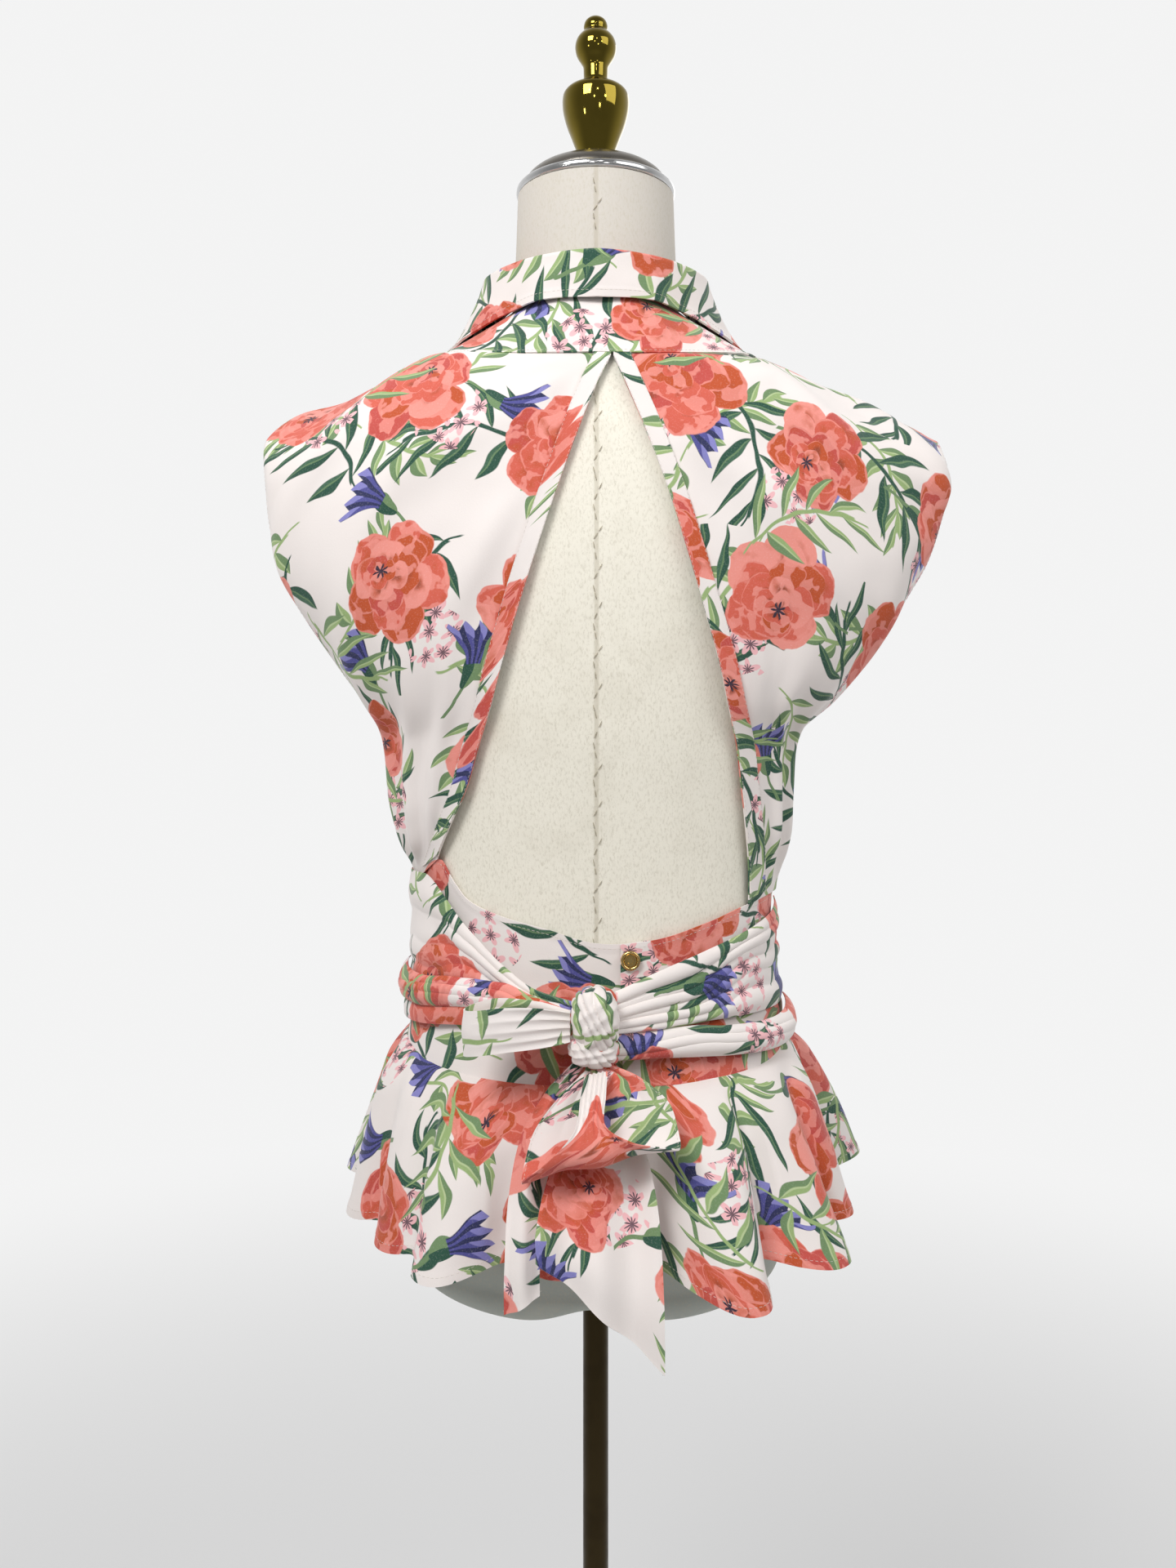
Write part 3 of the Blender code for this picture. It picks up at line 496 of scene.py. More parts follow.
    def spray(
        self, g: Graph, under: Wire, at: Wire, lattice: Lattice, size: float,
        leaves: Sequence[Leaf], dark: bool,
    ) -> Wire:
        """Paints a curved stem with long leaves on both sides.

        Args:
            g: The graph.
            under: The colour that is painted over.
            at: The place on the print, in metres.
            lattice: Where the sprays stand.
            size: Half a spray's height, in metres.
            leaves: Its leaves.
            dark: Whether it takes the darker greens.

        Returns:
            The painted colour.
        """
        local, chance = self.cells(g, at, lattice)
        x, y, second = self.turned(g, local, chance)
        x, y = x / size, y / size
        lean = x - 0.34 * y * y + 0.14
        reach = abs(lean)
        right = lean.above(0.0)
        y = y - 0.17 * right
        low, mid, high = (self.pine, self.fern, self.moss) if dark else (self.moss, self.sage, self.pale_leaf)
        stem = (reach - 0.026).ease(0.014, -0.004) * (abs(y + 0.1) - 0.9).ease(0.02, -0.02)
        shown = g.paint(under, low if dark else mid, stem)
        for place, slant, length, width in leaves:
            out, up = math.sin(math.radians(slant)) / length, math.cos(math.radians(slant)) / length
            rise = y - place
            s = reach * out + rise * up
            t = reach * up - rise * out
            t = t + (0.5 * s - 0.5) * s * 0.55
            capped = g.math("MINIMUM", s, 1.0)
            half = s * (1 - capped) * (1.18 - 0.36 * capped) * (4 * width)
            leaf = (abs(t) - half).ease(-0.001, -0.02)
            tint = g.paint(mid, low, (t + 0.006).ease(-0.008, 0.008))
            vein = (abs(t + 0.2 * half) - 0.12 * half).ease(0.006, -0.006)
            tint = g.paint(tint, high, vein * 0.75)
            shown = g.paint(shown, tint, leaf)
        return shown

    def blossoms(
        self, g: Graph, under: Wire, at: Wire, patches: Lattice, flowers: Lattice, size: float
    ) -> Wire:
        """Paints patches of small five-petalled blossoms."""
        patch, _ = self.cells(g, at, patches)
        px, py = g.split(patch)
        near = g.math("SQRT", px * px + py * py)
        local, chance = self.cells(g, at, flowers)
        x, y, second = self.turned(g, local, chance)
        x, y = x / size, y / size
        reach = g.math("SQRT", x * x + y * y)
        star = 0.72 + 0.3 * g.math("COSINE", g.math("ARCTAN2", y, x) * 5)
        kept = (near + 0.006 * second).below(0.0215)
        shown = g.paint(under, self.blossom, (reach - star).ease(0.05, -0.05) * kept)
        dots = (reach - 0.34 - 0.2 * g.math("COSINE", g.math("ARCTAN2", y, x) * 10)).ease(0.04, -0.04)
        return g.paint(shown, self.ink, dots * kept * 0.85)

    def material(self) -> bpy.types.Material:
        """Builds the printed cloth."""
        g = Graph("printed crepe")
        flat = g.add("ShaderNodeUVMap", {"uv_map": PRINT_MAP}, {})
        drift = g.add("ShaderNodeTexNoise", {}, {"Vector": flat, "Scale": 42.0, "Detail": 1.0}, "Color")
        drift = g.vector("SCALE", g.vector("SUBTRACT", drift, (0.5, 0.5, 0.5)))
        drift.socket.node.inputs["Scale"].default_value = 0.009
        at = g.vector("ADD", flat, drift)
        tone = g.noise(flat, 14.0, 2.0)
        shown = g.paint(self.ground, srgb(232, 223, 219), tone.ease(0.35, 0.7) * 0.5)
        shown = self.spray(g, shown, at, Lattice(0.090, 0.3, (0.2, 0.7, 0)), 0.041, SHORT_LEAVES, False)
        shown = self.spray(g, shown, at, Lattice(0.096, 0.3, (3.6, 1.1, 0)), 0.046, LONG_LEAVES, True)
        patches, flowers = Lattice(0.105, 0.35, (0.95, 0.6, 0)), Lattice(0.0135, 0.45, (0.4, 0.1, 0))
        shown = self.blossoms(g, shown, at, patches, flowers, 0.0072)
        shown = self.bell(g, shown, at, Lattice(0.078, 0.4, (0.5, 5.35, 0)), 0.0205)
        shown = self.peony(g, shown, at, Lattice(0.100, 0.35, (0.5, 0.1, 0)), 0.0365)
        shown = self.spray(g, shown, at, Lattice(0.135, 0.4, (7.1, 0.62, 0)), 0.042, LONG_LEAVES, False)
        grain = g.noise(flat, 950.0, 3.0, 0.7)
        shown = g.paint(shown, srgb(250, 246, 243), grain.ease(0.5, 0.8) * 0.16)
        bump = g.bump(grain, 0.22, 0.0004)
        g.shade(base_color=shown, roughness=self.roughness, normal=bump, specular_ior_level=0.25)
        g.shade(sheen_weight=0.25, sheen_roughness=0.45)
        return g.material


@dataclass(frozen=True)
class CanvasCover:
    """The form's canvas, greyer at the neck and darker below with painted shade, with its seams drawn in."""

    cream: Colour = srgb(240, 235, 221)
    neck: Colour = srgb(212, 206, 197)
    painted_shade_below: Colour = srgb(174, 179, 172)

    def material(self) -> bpy.types.Material:
        """Builds the canvas."""
        g = Graph("form canvas")
        place = g.add("ShaderNodeTexCoord", {}, {}, "Object")
        x = g.add("ShaderNodeSeparateXYZ", {}, {0: place})
        y, z = Wire(g, x.socket.node.outputs[1]), Wire(g, x.socket.node.outputs[2])
        # Painted shade: the canvas goes from cream to a darker grey-green towards the bottom of the form.
        shown = g.paint(self.painted_shade_below, self.cream, z.ease(0.86, 1.06))
        shown = g.paint(shown, self.neck, z.ease(1.36, 1.44))
        mottle = g.noise(place, 30.0, 4.0)
        shown = g.paint(shown, srgb(212, 205, 188), mottle.ease(0.45, 0.8) * 0.3)
        squash = g.add("ShaderNodeMapping", {}, {"Vector": place, "Scale": (1.0, 1.0, 0.45)})
        threads = g.noise(squash, 900.0, 3.0, 0.65)
        shown = g.paint(shown, srgb(196, 188, 168), threads.ease(0.45, 0.75) * 0.5)
        seam = (abs(x) - 0.0007).ease(0.0012, 0.0)
        side = (abs(y) - 0.0006).ease(0.001, 0.0)
        lines = g.math("MAXIMUM", seam, side * z.ease(1.44, 1.42)) * z.ease(0.8, 0.82)
        shown = g.paint(shown, srgb(180, 170, 148), lines * 0.4)
        height = threads * 0.5 - lines * 0.5
        bump = g.bump(height, 0.35, 0.0006)
        g.shade(base_color=shown, roughness=0.9, normal=bump, specular_ior_level=0.2, sheen_weight=0.1)
        return g.material


@dataclass(frozen=True)
class Metal:
    """A metal of one colour with faint handling marks in its gloss."""

    name: str
    colour: Colour
    roughness: float
    marks: float = 0.06
    metallic: float = 1.0

    def material(self) -> bpy.types.Material:
        """Builds the metal."""
        g = Graph(self.name)
        place = g.add("ShaderNodeTexCoord", {}, {}, "Object")
        cloud = g.noise(place, 60.0, 5.0)
        fine = g.noise(place, 700.0, 2.0)
        dull = tuple(0.72 * c for c in self.colour[:3]) + (1.0,)
        shown = g.paint(self.colour, dull, cloud.ease(0.45, 0.75) * 0.5)
        gloss = self.roughness + self.marks * cloud.ease(0.4, 0.7) + 0.5 * self.marks * fine
        g.shade(base_color=shown, roughness=gloss, metallic=self.metallic)
        return g.material


@dataclass(frozen=True)
class Thread:
    """Sewing thread with its twist as fine light and dark."""

    name: str
    colour: Colour

    def material(self) -> bpy.types.Material:
        """Builds the thread."""
        g = Graph(self.name)
        place = g.add("ShaderNodeTexCoord", {}, {}, "Object")
        twist = g.noise(place, 1800.0, 1.0)
        dull = tuple(0.7 * c for c in self.colour[:3]) + (1.0,)
        g.shade(base_color=g.paint(self.colour, dull, twist.ease(0.4, 0.6)), roughness=0.7)
        return g.material


class Edge(Enum):
    """The four edges of a piece of cloth, by its u and v."""

    START = "start"
    END = "end"
    FOOT = "foot"
    TOP = "top"


class Grain(Enum):
    """How a piece was cut from the printed cloth."""

    STRAIGHT = "straight"
    FLARED = "flared"


@dataclass(frozen=True)
class Hem:
    """A turned edge: where it is, how wide, and whether a row of stitches shows on it."""

    edge: Edge
    width: float
    rise: float = 0.00035
    stitched: bool = True


@dataclass
class StitchRow:
    """A row of stitches: points on the cloth, and the way out of it at each."""

    points: Array
    normals: Array


@dataclass
class ClothPiece:
    """One cut piece of cloth, made of a surface of u and v with a wall, hems and a print map."""

    node: str
    surface: Surface
    columns: int
    rows: int
    outward: int
    hems: tuple[Hem, ...] = ()
    folds: Surface | None = None
    print_at: tuple[float, float] = (0.0, 0.0)
    print_turn: float = 0.0
    grain: Grain = Grain.STRAIGHT
    thickness: float = FABRIC
    held: str = "draped"
    rests_on: tuple[str, ...] = ("form_body",)
    suffix: str = "cloth"
    lift: float = 0.0
    width_shown: float = field(default=0.0, init=False)
    length_shown: float = field(default=0.0, init=False)
    stitch_rows: list[StitchRow] = field(default_factory=list, init=False)

    def lay_out(self) -> tuple[Array, Array, Array, Array]:
        """Places the grid's points, folds included.

        Returns:
            Points, outward normals, and arc lengths along u and along v.
        """
        u, v = np.meshgrid(np.linspace(0, 1, self.columns + 1), np.linspace(0, 1, self.rows + 1))
        points = self.surface(u, v)
        normals = self.normals_of(points)
        along_u, along_v = self.arc_lengths(points)
        if self.folds is not None:
            points = points + (self.folds(u, v) + self.lift)[..., None] * normals
            normals = self.normals_of(points)
            along_u, along_v = self.arc_lengths(points)
        return points, normals, along_u, along_v

    def normals_of(self, points: Array) -> Array:
        """Finds the outward normals of a grid of points."""
        return unit(np.cross(np.gradient(points, axis=1), np.gradient(points, axis=0))) * self.outward

    def arc_lengths(self, points: Array) -> tuple[Array, Array]:
        """Measures the lengths along each row and each column of the grid."""
        step_u = np.linalg.norm(np.diff(points, axis=1), axis=-1)
        step_v = np.linalg.norm(np.diff(points, axis=0), axis=-1)
        along_u = np.concatenate((np.zeros((len(points), 1)), np.cumsum(step_u, axis=1)), axis=1)
        along_v = np.concatenate((np.zeros((1, points.shape[1])), np.cumsum(step_v, axis=0)), axis=0)
        return along_u, along_v

    def from_edge(self, edge: Edge, along_u: Array, along_v: Array) -> Array:
        """Measures the distance of each point from one edge."""
        return {
            Edge.START: along_u,
            Edge.END: along_u[:, -1:] - along_u,
            Edge.FOOT: along_v,
            Edge.TOP: along_v[-1:] - along_v,
        }[edge]

    def print_map(self, along_u: Array, along_v: Array) -> Array:
        """Lays the piece flat on the printed cloth, in metres."""
        if self.grain is Grain.FLARED:
            foot, top = along_u[0, -1], along_u[-1, -1]
            height = float(along_v[-1].mean())
            spread = max((foot - top) / height, 0.2)
            turn = (along_u / along_u[:, -1:] - 0.5) * spread
            reach = top / spread + (height - along_v)
            flat = np.stack((reach * np.sin(turn), -reach * np.cos(turn)), axis=-1)
        else:
            flat = np.stack((along_u - along_u[:, -1:] / 2, along_v), axis=-1)
        cos, sin = math.cos(self.print_turn), math.sin(self.print_turn)
        x, y = flat[..., 0], flat[..., 1]
        return np.stack((x * cos - y * sin, x * sin + y * cos), axis=-1) + np.array(self.print_at)

    def row_near(
        self, edge: Edge, inset: float, outer: Array, normals: Array, along_u: Array, along_v: Array
    ) -> StitchRow:
        """Follows one edge at an inset, on the outer side.

        Args:
            edge: The edge that the row follows.
            inset: The row's distance from the edge, in metres.
            outer: Points of the outer side.
            normals: Outward normals.
            along_u: Arc lengths along u.
            along_v: Arc lengths along v.

        Returns:
            The row's points and normals.
        """
        across = self.from_edge(edge, along_u, along_v)
        if edge in (Edge.START, Edge.END):
            lines, points, ways = across, outer, normals
        else:
            lines, points, ways = across.T, outer.transpose(1, 0, 2), normals.transpose(1, 0, 2)
        if edge in (Edge.END, Edge.TOP):
            lines, points, ways = lines[:, ::-1], points[:, ::-1], ways[:, ::-1]

        def at_inset(values: Array) -> Array:
            """Reads values where each line reaches the inset."""
            return np.array([
                [np.interp(inset, line, row[:, i]) for i in range(3)] for line, row in zip(lines, values)
            ])

        return StitchRow(at_inset(points), unit(at_inset(ways)))

    def build(self, finish: bpy.types.Material) -> bpy.types.Object:
        """Builds the piece as a closed wall, maps its print and puts it in its node's place.

        Args:
            finish: The cloth's material.

        Returns:
            The piece.
        """
        inner, normals, along_u, along_v = self.lay_out()
        wall = np.full(inner.shape[:2], self.thickness)
        for hem in self.hems:
            reach = self.from_edge(hem.edge, along_u, along_v)
            near = 1 - ease(reach, hem.width - HEM_SLOPE, hem.width + HEM_SLOPE)
            wall = np.maximum(wall, self.thickness + hem.rise * near)
        outer = inner + wall[..., None] * normals
        for hem in self.hems:
            if hem.stitched:
                inset = hem.width - STITCH_INSET
                self.stitch_rows.append(self.row_near(hem.edge, inset, outer, normals, along_u, along_v))
        self.width_shown = float(along_u[:, -1].max())
        self.length_shown = float(along_v[-1].max())
        obj = self.wall_object(inner, outer, self.print_map(along_u, along_v))
        obj.data.materials.append(finish)
        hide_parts(self.node)
        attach(obj, "root")
        self.declare(obj)
        return obj

    def declare(self, obj: bpy.types.Object) -> None:
        half_wall = 0.5 * sum(polygon.area for polygon in obj.data.polygons)
        width, length = self.width_shown, self.length_shown
        scale = max(1.0, math.sqrt(half_wall / (width * length)))
        width * scale
        length * scale
        list(self.rests_on)
        min(half_wall, width * length * scale * scale)

    def wall_object(self, inner: Array, outer: Array, flat: Array) -> bpy.types.Object:
        """Joins the two sides and the rim as one closed mesh with the print map."""
        high, wide = inner.shape[:2]
        index = np.arange(high * wide).reshape(high, wide)
        corners = (index[:-1, :-1], index[:-1, 1:], index[1:, 1:], index[1:, :-1])
        quads = np.stack(corners, axis=-1).reshape(-1, 4)
        outside = quads + high * wide
        if self.outward > 0:
            quads = quads[:, ::-1]
        else:
            outside = outside[:, ::-1]
        ring = np.concatenate((index[0, :-1], index[:-1, -1], index[-1, :0:-1], index[:0:-1, 0]))
        follow = np.roll(ring, -1)
        rim = np.stack((ring, follow, follow + high * wide, ring + high * wide), axis=-1)
        if self.outward < 0:
            rim = rim[:, ::-1]
        faces = np.concatenate((quads, outside, rim))
        points = np.concatenate((inner.reshape(-1, 3), outer.reshape(-1, 3)))
        mesh = bpy.data.meshes.new(f"{self.node}_{self.suffix}")
        mesh.from_pydata(points.tolist(), [], faces.tolist())
        both = np.concatenate((flat.reshape(-1, 2), flat.reshape(-1, 2)))
        layer = mesh.uv_layers.new(name=PRINT_MAP)
        corners = np.empty(len(mesh.loops), np.int32)
        mesh.loops.foreach_get("vertex_index", corners)
        layer.data.foreach_set("uv", both[corners].astype(np.float32).ravel())
        mesh.shade_smooth()
        mesh.set_sharp_from_angle(angle=math.radians(50))
        obj = bpy.data.objects.new(f"{self.node}_{self.suffix}", mesh)
        bpy.context.scene.collection.objects.link(obj)
        width, length = 1000 * self.width_shown, 1000 * self.length_shown
        LOG.info("%s: %d faces, %.0f x %.0f mm", obj.name, len(faces), width, length)
        return obj


def new_piece(
    name: str, points: Sequence[Any], faces: Sequence[Any], finish: bpy.types.Material
) -> bpy.types.Object:
    """Makes a smooth piece of points and faces."""
    mesh = bpy.data.meshes.new(name)
    mesh.from_pydata([tuple(map(float, p)) for p in points], [], [tuple(map(int, f)) for f in faces])
    mesh.materials.append(finish)
    mesh.shade_smooth()
    mesh.set_sharp_from_angle(angle=math.radians(42))
    obj = bpy.data.objects.new(name, mesh)
    bpy.context.scene.collection.objects.link(obj)
    return obj


def placed(obj: bpy.types.Object, slot: str, *nodes: str) -> bpy.types.Object:
    """Hides the model's parts that a piece stands in for, puts the piece on its body, and reports it."""
    if nodes:
        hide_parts(*nodes)
    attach(obj, "root")
    LOG.info("%s: %d faces", obj.name, len(obj.data.polygons))
    return obj


def baked(obj: bpy.types.Object) -> bpy.types.Object:
    """Makes a piece's modifiers part of its mesh."""
    graph = bpy.context.evaluated_depsgraph_get()
    mesh = bpy.data.meshes.new_from_object(obj.evaluated_get(graph))
    obj.modifiers.clear()
    obj.data = mesh
    return obj


def shell_faces(index: Array, first: int, last: int) -> list[tuple[int, ...]]:
    """Closes rings of points into a shell, with a pole at each end.

    Args:
        index: Numbers of the points, a row for each ring.
        first: Number of the pole before the first ring.
        last: Number of the pole after the last ring.

    Returns:
        The faces.
    """
    after = np.roll(index, -1, axis=1)
    sides = np.stack((index[:-1], after[:-1], after[1:], index[1:]), axis=-1).reshape(-1, 4)
    faces = [tuple(side) for side in sides]
    faces += [(first, b, a) for a, b in zip(index[0], after[0])]
    return faces + [(last, a, b) for a, b in zip(index[-1], after[-1])]


def turned(
    name: str, profile: Sequence[tuple[float, float]], segments: int, finish: bpy.types.Material
) -> bpy.types.Object:
    """Turns a profile about Z.

    Args:
        name: The piece's name.
        profile: Radius and height of each point, down the outer side, with both ends on the axis.
        segments: Points round the axis.
        finish: The material.

    Returns:
        The piece.
    """
    rings = np.array(profile[1:-1])
    turn = np.linspace(0, 2 * np.pi, segments, endpoint=False)
    x, y = rings[:, :1] * np.cos(turn), rings[:, :1] * np.sin(turn)
    points = np.stack((x, y, np.repeat(rings[:, 1:], segments, 1)), axis=-1).reshape(-1, 3)
    top, foot = len(points), len(points) + 1
    points = np.concatenate((points, [(0, 0, profile[0][1]), (0, 0, profile[-1][1])]))
    index = np.arange(len(rings) * segments).reshape(len(rings), segments)
    after = np.roll(index, -1, axis=1)
    sides = np.stack((index[:-1], index[1:], after[1:], after[:-1]), axis=-1).reshape(-1, 4)
    faces = [tuple(side) for side in sides]
    faces += [(top, a, b) for a, b in zip(index[0], after[0])]
    faces += [(foot, b, a) for a, b in zip(index[-1], after[-1])]
    return new_piece(name, points, faces, finish)


def rounded_profile(profile: Sequence[tuple[float, float]], each: int) -> list[tuple[float, float]]:
    """Runs a smooth line through a profile's points, with each of its steps cut in so many."""
    points = np.array(profile, float)
    step = np.linalg.norm(np.diff(points, axis=0), axis=1) ** 0.5
    keys = np.concatenate(([0], np.cumsum(step)))
    at = np.interp(np.arange(0, (len(points) - 1) * each + 1) / each, np.arange(len(points)), keys)
    rates = np.gradient(points, keys, axis=0)
    line = np.stack([curve(keys, points[:, i], rates[:, i], at) for i in (0, 1)], axis=-1)
    line[:, 0] = np.maximum(line[:, 0], 0)
    return [tuple(point) for point in line]


class Ring(NamedTuple):
    """A level ring of the form."""

    height: float
    half_width: float
    back: float
    front: float
    squareness: float


@dataclass
class DressForm:
    """The limbless form: its shape, its canvas, and the tack stitches down its back seam."""

    rings: tuple[Ring, ...] = (
        Ring(0.8355, 0.1180, 0.088, 0.080, 2.3),
        Ring(0.8700, 0.1290, 0.103, 0.090, 2.3),
        Ring(0.9200, 0.1310, 0.101, 0.093, 2.3),
        Ring(0.9700, 0.1200, 0.0880, 0.0900, 2.3),
        Ring(0.9950, 0.1146, 0.0818, 0.0866, 2.3),
        Ring(1.0200, 0.1110, 0.0780, 0.0850, 2.3),
        Ring(1.0450, 0.1108, 0.0775, 0.0861, 2.3),
        Ring(1.0700, 0.1115, 0.0780, 0.0890, 2.3),
        Ring(1.1200, 0.1150, 0.082, 0.100, 2.3),
        Ring(1.1700, 0.1210, 0.088, 0.116, 2.3),
        Ring(1.2200, 0.1350, 0.092, 0.122, 2.3),
        Ring(1.2700, 0.1490, 0.094, 0.108, 2.3),
        Ring(1.3100, 0.1600, 0.092, 0.092, 2.3),
        Ring(1.3450, 0.1620, 0.087, 0.080, 2.3),
        Ring(1.3600, 0.1540, 0.083, 0.076, 2.3),
        Ring(1.3750, 0.1370, 0.079, 0.072, 2.3),
        Ring(1.3900, 0.1050, 0.073, 0.066, 2.25),
        Ring(1.4050, 0.0720, 0.064, 0.060, 2.15),
        Ring(1.4300, 0.0550, 0.056, 0.057, 2.0),
        Ring(1.4600, 0.0525, 0.052, 0.055, 2.0),
        Ring(1.5120, 0.0505, 0.050, 0.052, 2.0),
    )
    lobe_depth: float = 0.0385
    cleft_depth: float = 0.016
    cleft_width: float = 0.026

    def ring(self, name: str, height: Array) -> Array:
        """Reads the form's rings at heights."""
        return read(self.rings, name, height)

    def at(self, angle: Array, height: Array, off: Any) -> Array:
        """Gives points at a distance off the form's side, by angle and height."""
        across, back = np.sin(np.radians(angle)), np.cos(np.radians(angle))
        power = 2 / self.ring("squareness", height)
        depth = np.where(back > 0, self.ring("back", height), self.ring("front", height))
        x = (self.ring("half_width", height) + off) * rounded(power, across)
        return stack(x, -(depth + off) * rounded(power, back), height)

    def surface(self, u: Array, v: Array) -> Array:
        """The form from the middle of its underside (v = 0) to the top of the neck (v = 1)."""
        underside = 0.2
        height = along(self.rings, "height", np.clip((v - underside) / (1 - underside), 0, 1))
        bend = np.pi / 2 * np.clip(v / underside, 0, 1)
        side = self.at(360 * u, height, 0)
        x, y = side[..., 0] * np.sin(bend), side[..., 1] * np.sin(bend)
        cleft = self.cleft_depth * np.exp(-((x / self.cleft_width) ** 2))
        return stack(x, y, height - (self.lobe_depth - cleft) * np.cos(bend))

    def build(self, canvas: bpy.types.Material, pole_radius: float, pole_top: float) -> bpy.types.Object:
        """Builds the form with the pocket that takes the pole.

        Args:
            canvas: The form's material.
            pole_radius: The pole's radius.
            pole_top: The height of the pole's end inside the form.

        Returns:
            The form.
        """
        columns, rows = 144, 150
        u, v = np.meshgrid(np.linspace(0, 1, columns, endpoint=False), np.linspace(0, 1, rows + 1)[1:])
        points = self.surface(u, v)
        index = np.arange(rows * columns).reshape(rows, columns)
        bottom = self.surface(np.zeros(1), np.zeros(1))[0]
        top = np.array((0, 0, self.rings[-1].height))
        points = np.concatenate((points.reshape(-1, 3), [bottom, top]))
        faces = shell_faces(index, len(points) - 2, len(points) - 1)
        obj = new_piece("form_canvas", points, faces, canvas)
        below = 0.72
        middle = (0, 0, (pole_top + below + SEAM_GAP) / 2)
        bpy.ops.mesh.primitive_cylinder_add(
            vertices=48, radius=pole_radius + BORE_GAP, depth=pole_top - below, location=middle
        )
        cutter = bpy.context.object
        cut = obj.modifiers.new("pole pocket", "BOOLEAN")
        cut.operation = "DIFFERENCE"
        cut.object = cutter
        baked(obj)
        bpy.data.objects.remove(cutter)
        return placed(obj, "form_cover", "form_body")

    def tack_rows(self) -> list[StitchRow]:
        """Gives the slanting tack stitches down the seam of the back."""
        rows = []
        for i, height in enumerate(np.arange(1.038, 1.505, 0.0115)):
            if 1.385 < height < 1.466:
                continue
            slant = 0.0022 if i % 2 else -0.0016
            heights = np.array((height, height + 0.0042 + 0.001 * (i % 3)))
            middle = self.at(np.zeros(2), heights, 0.0004)
            points = middle + np.array(((-0.0006, 0, 0), (slant, 0, 0)))
            rows.append(StitchRow(points, np.array(((0, -1.0, 0), (0, -1.0, 0)))))
        return rows


@dataclass
class Stand:
    """The turned brass finial, the neck's rim and cap, the pole and its round base."""

    pole_radius: float = 0.0082
    pole_top: float = 0.900
    base_radius: float = 0.165
    base_thick: float = 0.012
    socket_top: float = 0.046
    neck_top: float = 1.512
    gap: float = SEAM_GAP
    finial_outline: tuple[tuple[float, float], ...] = (
        (0.0000, 0.0950), (0.0042, 0.0938), (0.0070, 0.0912), (0.0078, 0.0878), (0.0074, 0.0852),
        (0.0096, 0.0832), (0.0124, 0.0795), (0.0134, 0.0748), (0.0124, 0.0697), (0.0096, 0.0650),
        (0.0082, 0.0622), (0.0079, 0.0580), (0.0080, 0.0530), (0.0088, 0.0512), (0.0100, 0.0504),
        (0.0104, 0.0492), (0.0140, 0.0482), (0.0186, 0.0463), (0.0210, 0.0436), (0.0217, 0.0400),
        (0.0213, 0.0330), (0.0190, 0.0240), (0.0159, 0.0160), (0.0130, 0.0085), (0.0112, 0.0040),
        (0.0112, 0.0030), (0.0116, 0.0024), (0.0116, 0.0006), (0.0110, 0.0000), (0.0000, 0.0000),
    )

    def build(self, brass: Metal, chrome: Metal, dark: Metal, bronze: Metal) -> None:
        """Builds the metal pieces.

        Args:
            brass: The finial's metal.
            chrome: The rim's metal.
            dark: The cap's metal.
            bronze: The metal of the pole and base.
        """
        pole_finish = bronze.material()
        foot, top = self.base_thick + self.gap, self.pole_top
        edge = 0.0006
        pole = turned("pole_tube", (
            (0, top), (self.pole_radius - edge, top), (self.pole_radius, top - edge),
            (self.pole_radius, foot + edge), (self.pole_radius - edge, foot), (0, foot),
        ), 64, pole_finish)
        placed(pole, "pole_bronze", "pole")
        bore, rim = self.pole_radius + BORE_GAP, self.base_radius
        thick, socket = self.base_thick, self.socket_top
        base = turned("base_disc", (
            (0, thick), (bore, thick), (bore, socket - 0.0005),
            (bore + 0.0006, socket), (0.0150, socket), (0.0157, socket - 0.0003),
            (0.0160, socket - 0.0010), (0.0160, thick + 0.0060), (0.0168, thick + 0.0035),
            (0.0200, thick + 0.0020), (0.0600, thick + 0.0010), (rim - 0.0050, thick - 0.0010),
            (rim - 0.0020, thick - 0.0018), (rim - 0.0004, thick - 0.0036), (rim, thick - 0.0060),
            (rim, 0.0014), (rim - 0.0004, 0.0004), (rim - 0.0014, 0),
            (0, 0),
        ), 160, pole_finish)
        placed(base, "pole_bronze", "base_plate")
        rim_foot = self.neck_top + self.gap
        rim_top, rim = rim_foot + 0.005, 0.0515
        ring = turned("neck_ring", (
            (0, rim_top), (rim - 0.0020, rim_top), (rim - 0.0009, rim_top - 0.0003),
            (rim - 0.0002, rim_top - 0.0011), (rim, rim_top - 0.0020), (rim, rim_foot + 0.0016),
            (rim - 0.0004, rim_foot + 0.0006), (rim - 0.0013, rim_foot), (0, rim_foot),
        ), 128, chrome.material())
        placed(ring, "chrome_rim", "neck_rim")
        cap_foot = rim_top + self.gap
        turns = [math.radians(90 - 90 * i / 20) for i in range(21)]
        dome = [(0.0470 * math.cos(turn), cap_foot + 0.0180 * math.sin(turn)) for turn in turns]
        dome[0] = (0, dome[0][1])
        placed(turned("neck_dome", (*dome, (0, cap_foot)), 128, dark.material()), "cap_metal", "neck_cap")
        finial_foot = cap_foot + 0.0180 + self.gap
        outline = [(radius, finial_foot + height) for radius, height in self.finial_outline]
        smooth = rounded_profile(outline[:-1], 4) + [outline[-1]]
        smooth[0] = outline[0]
        placed(turned("turned_finial", smooth, 96, brass.material()), "finial_brass", "finial")


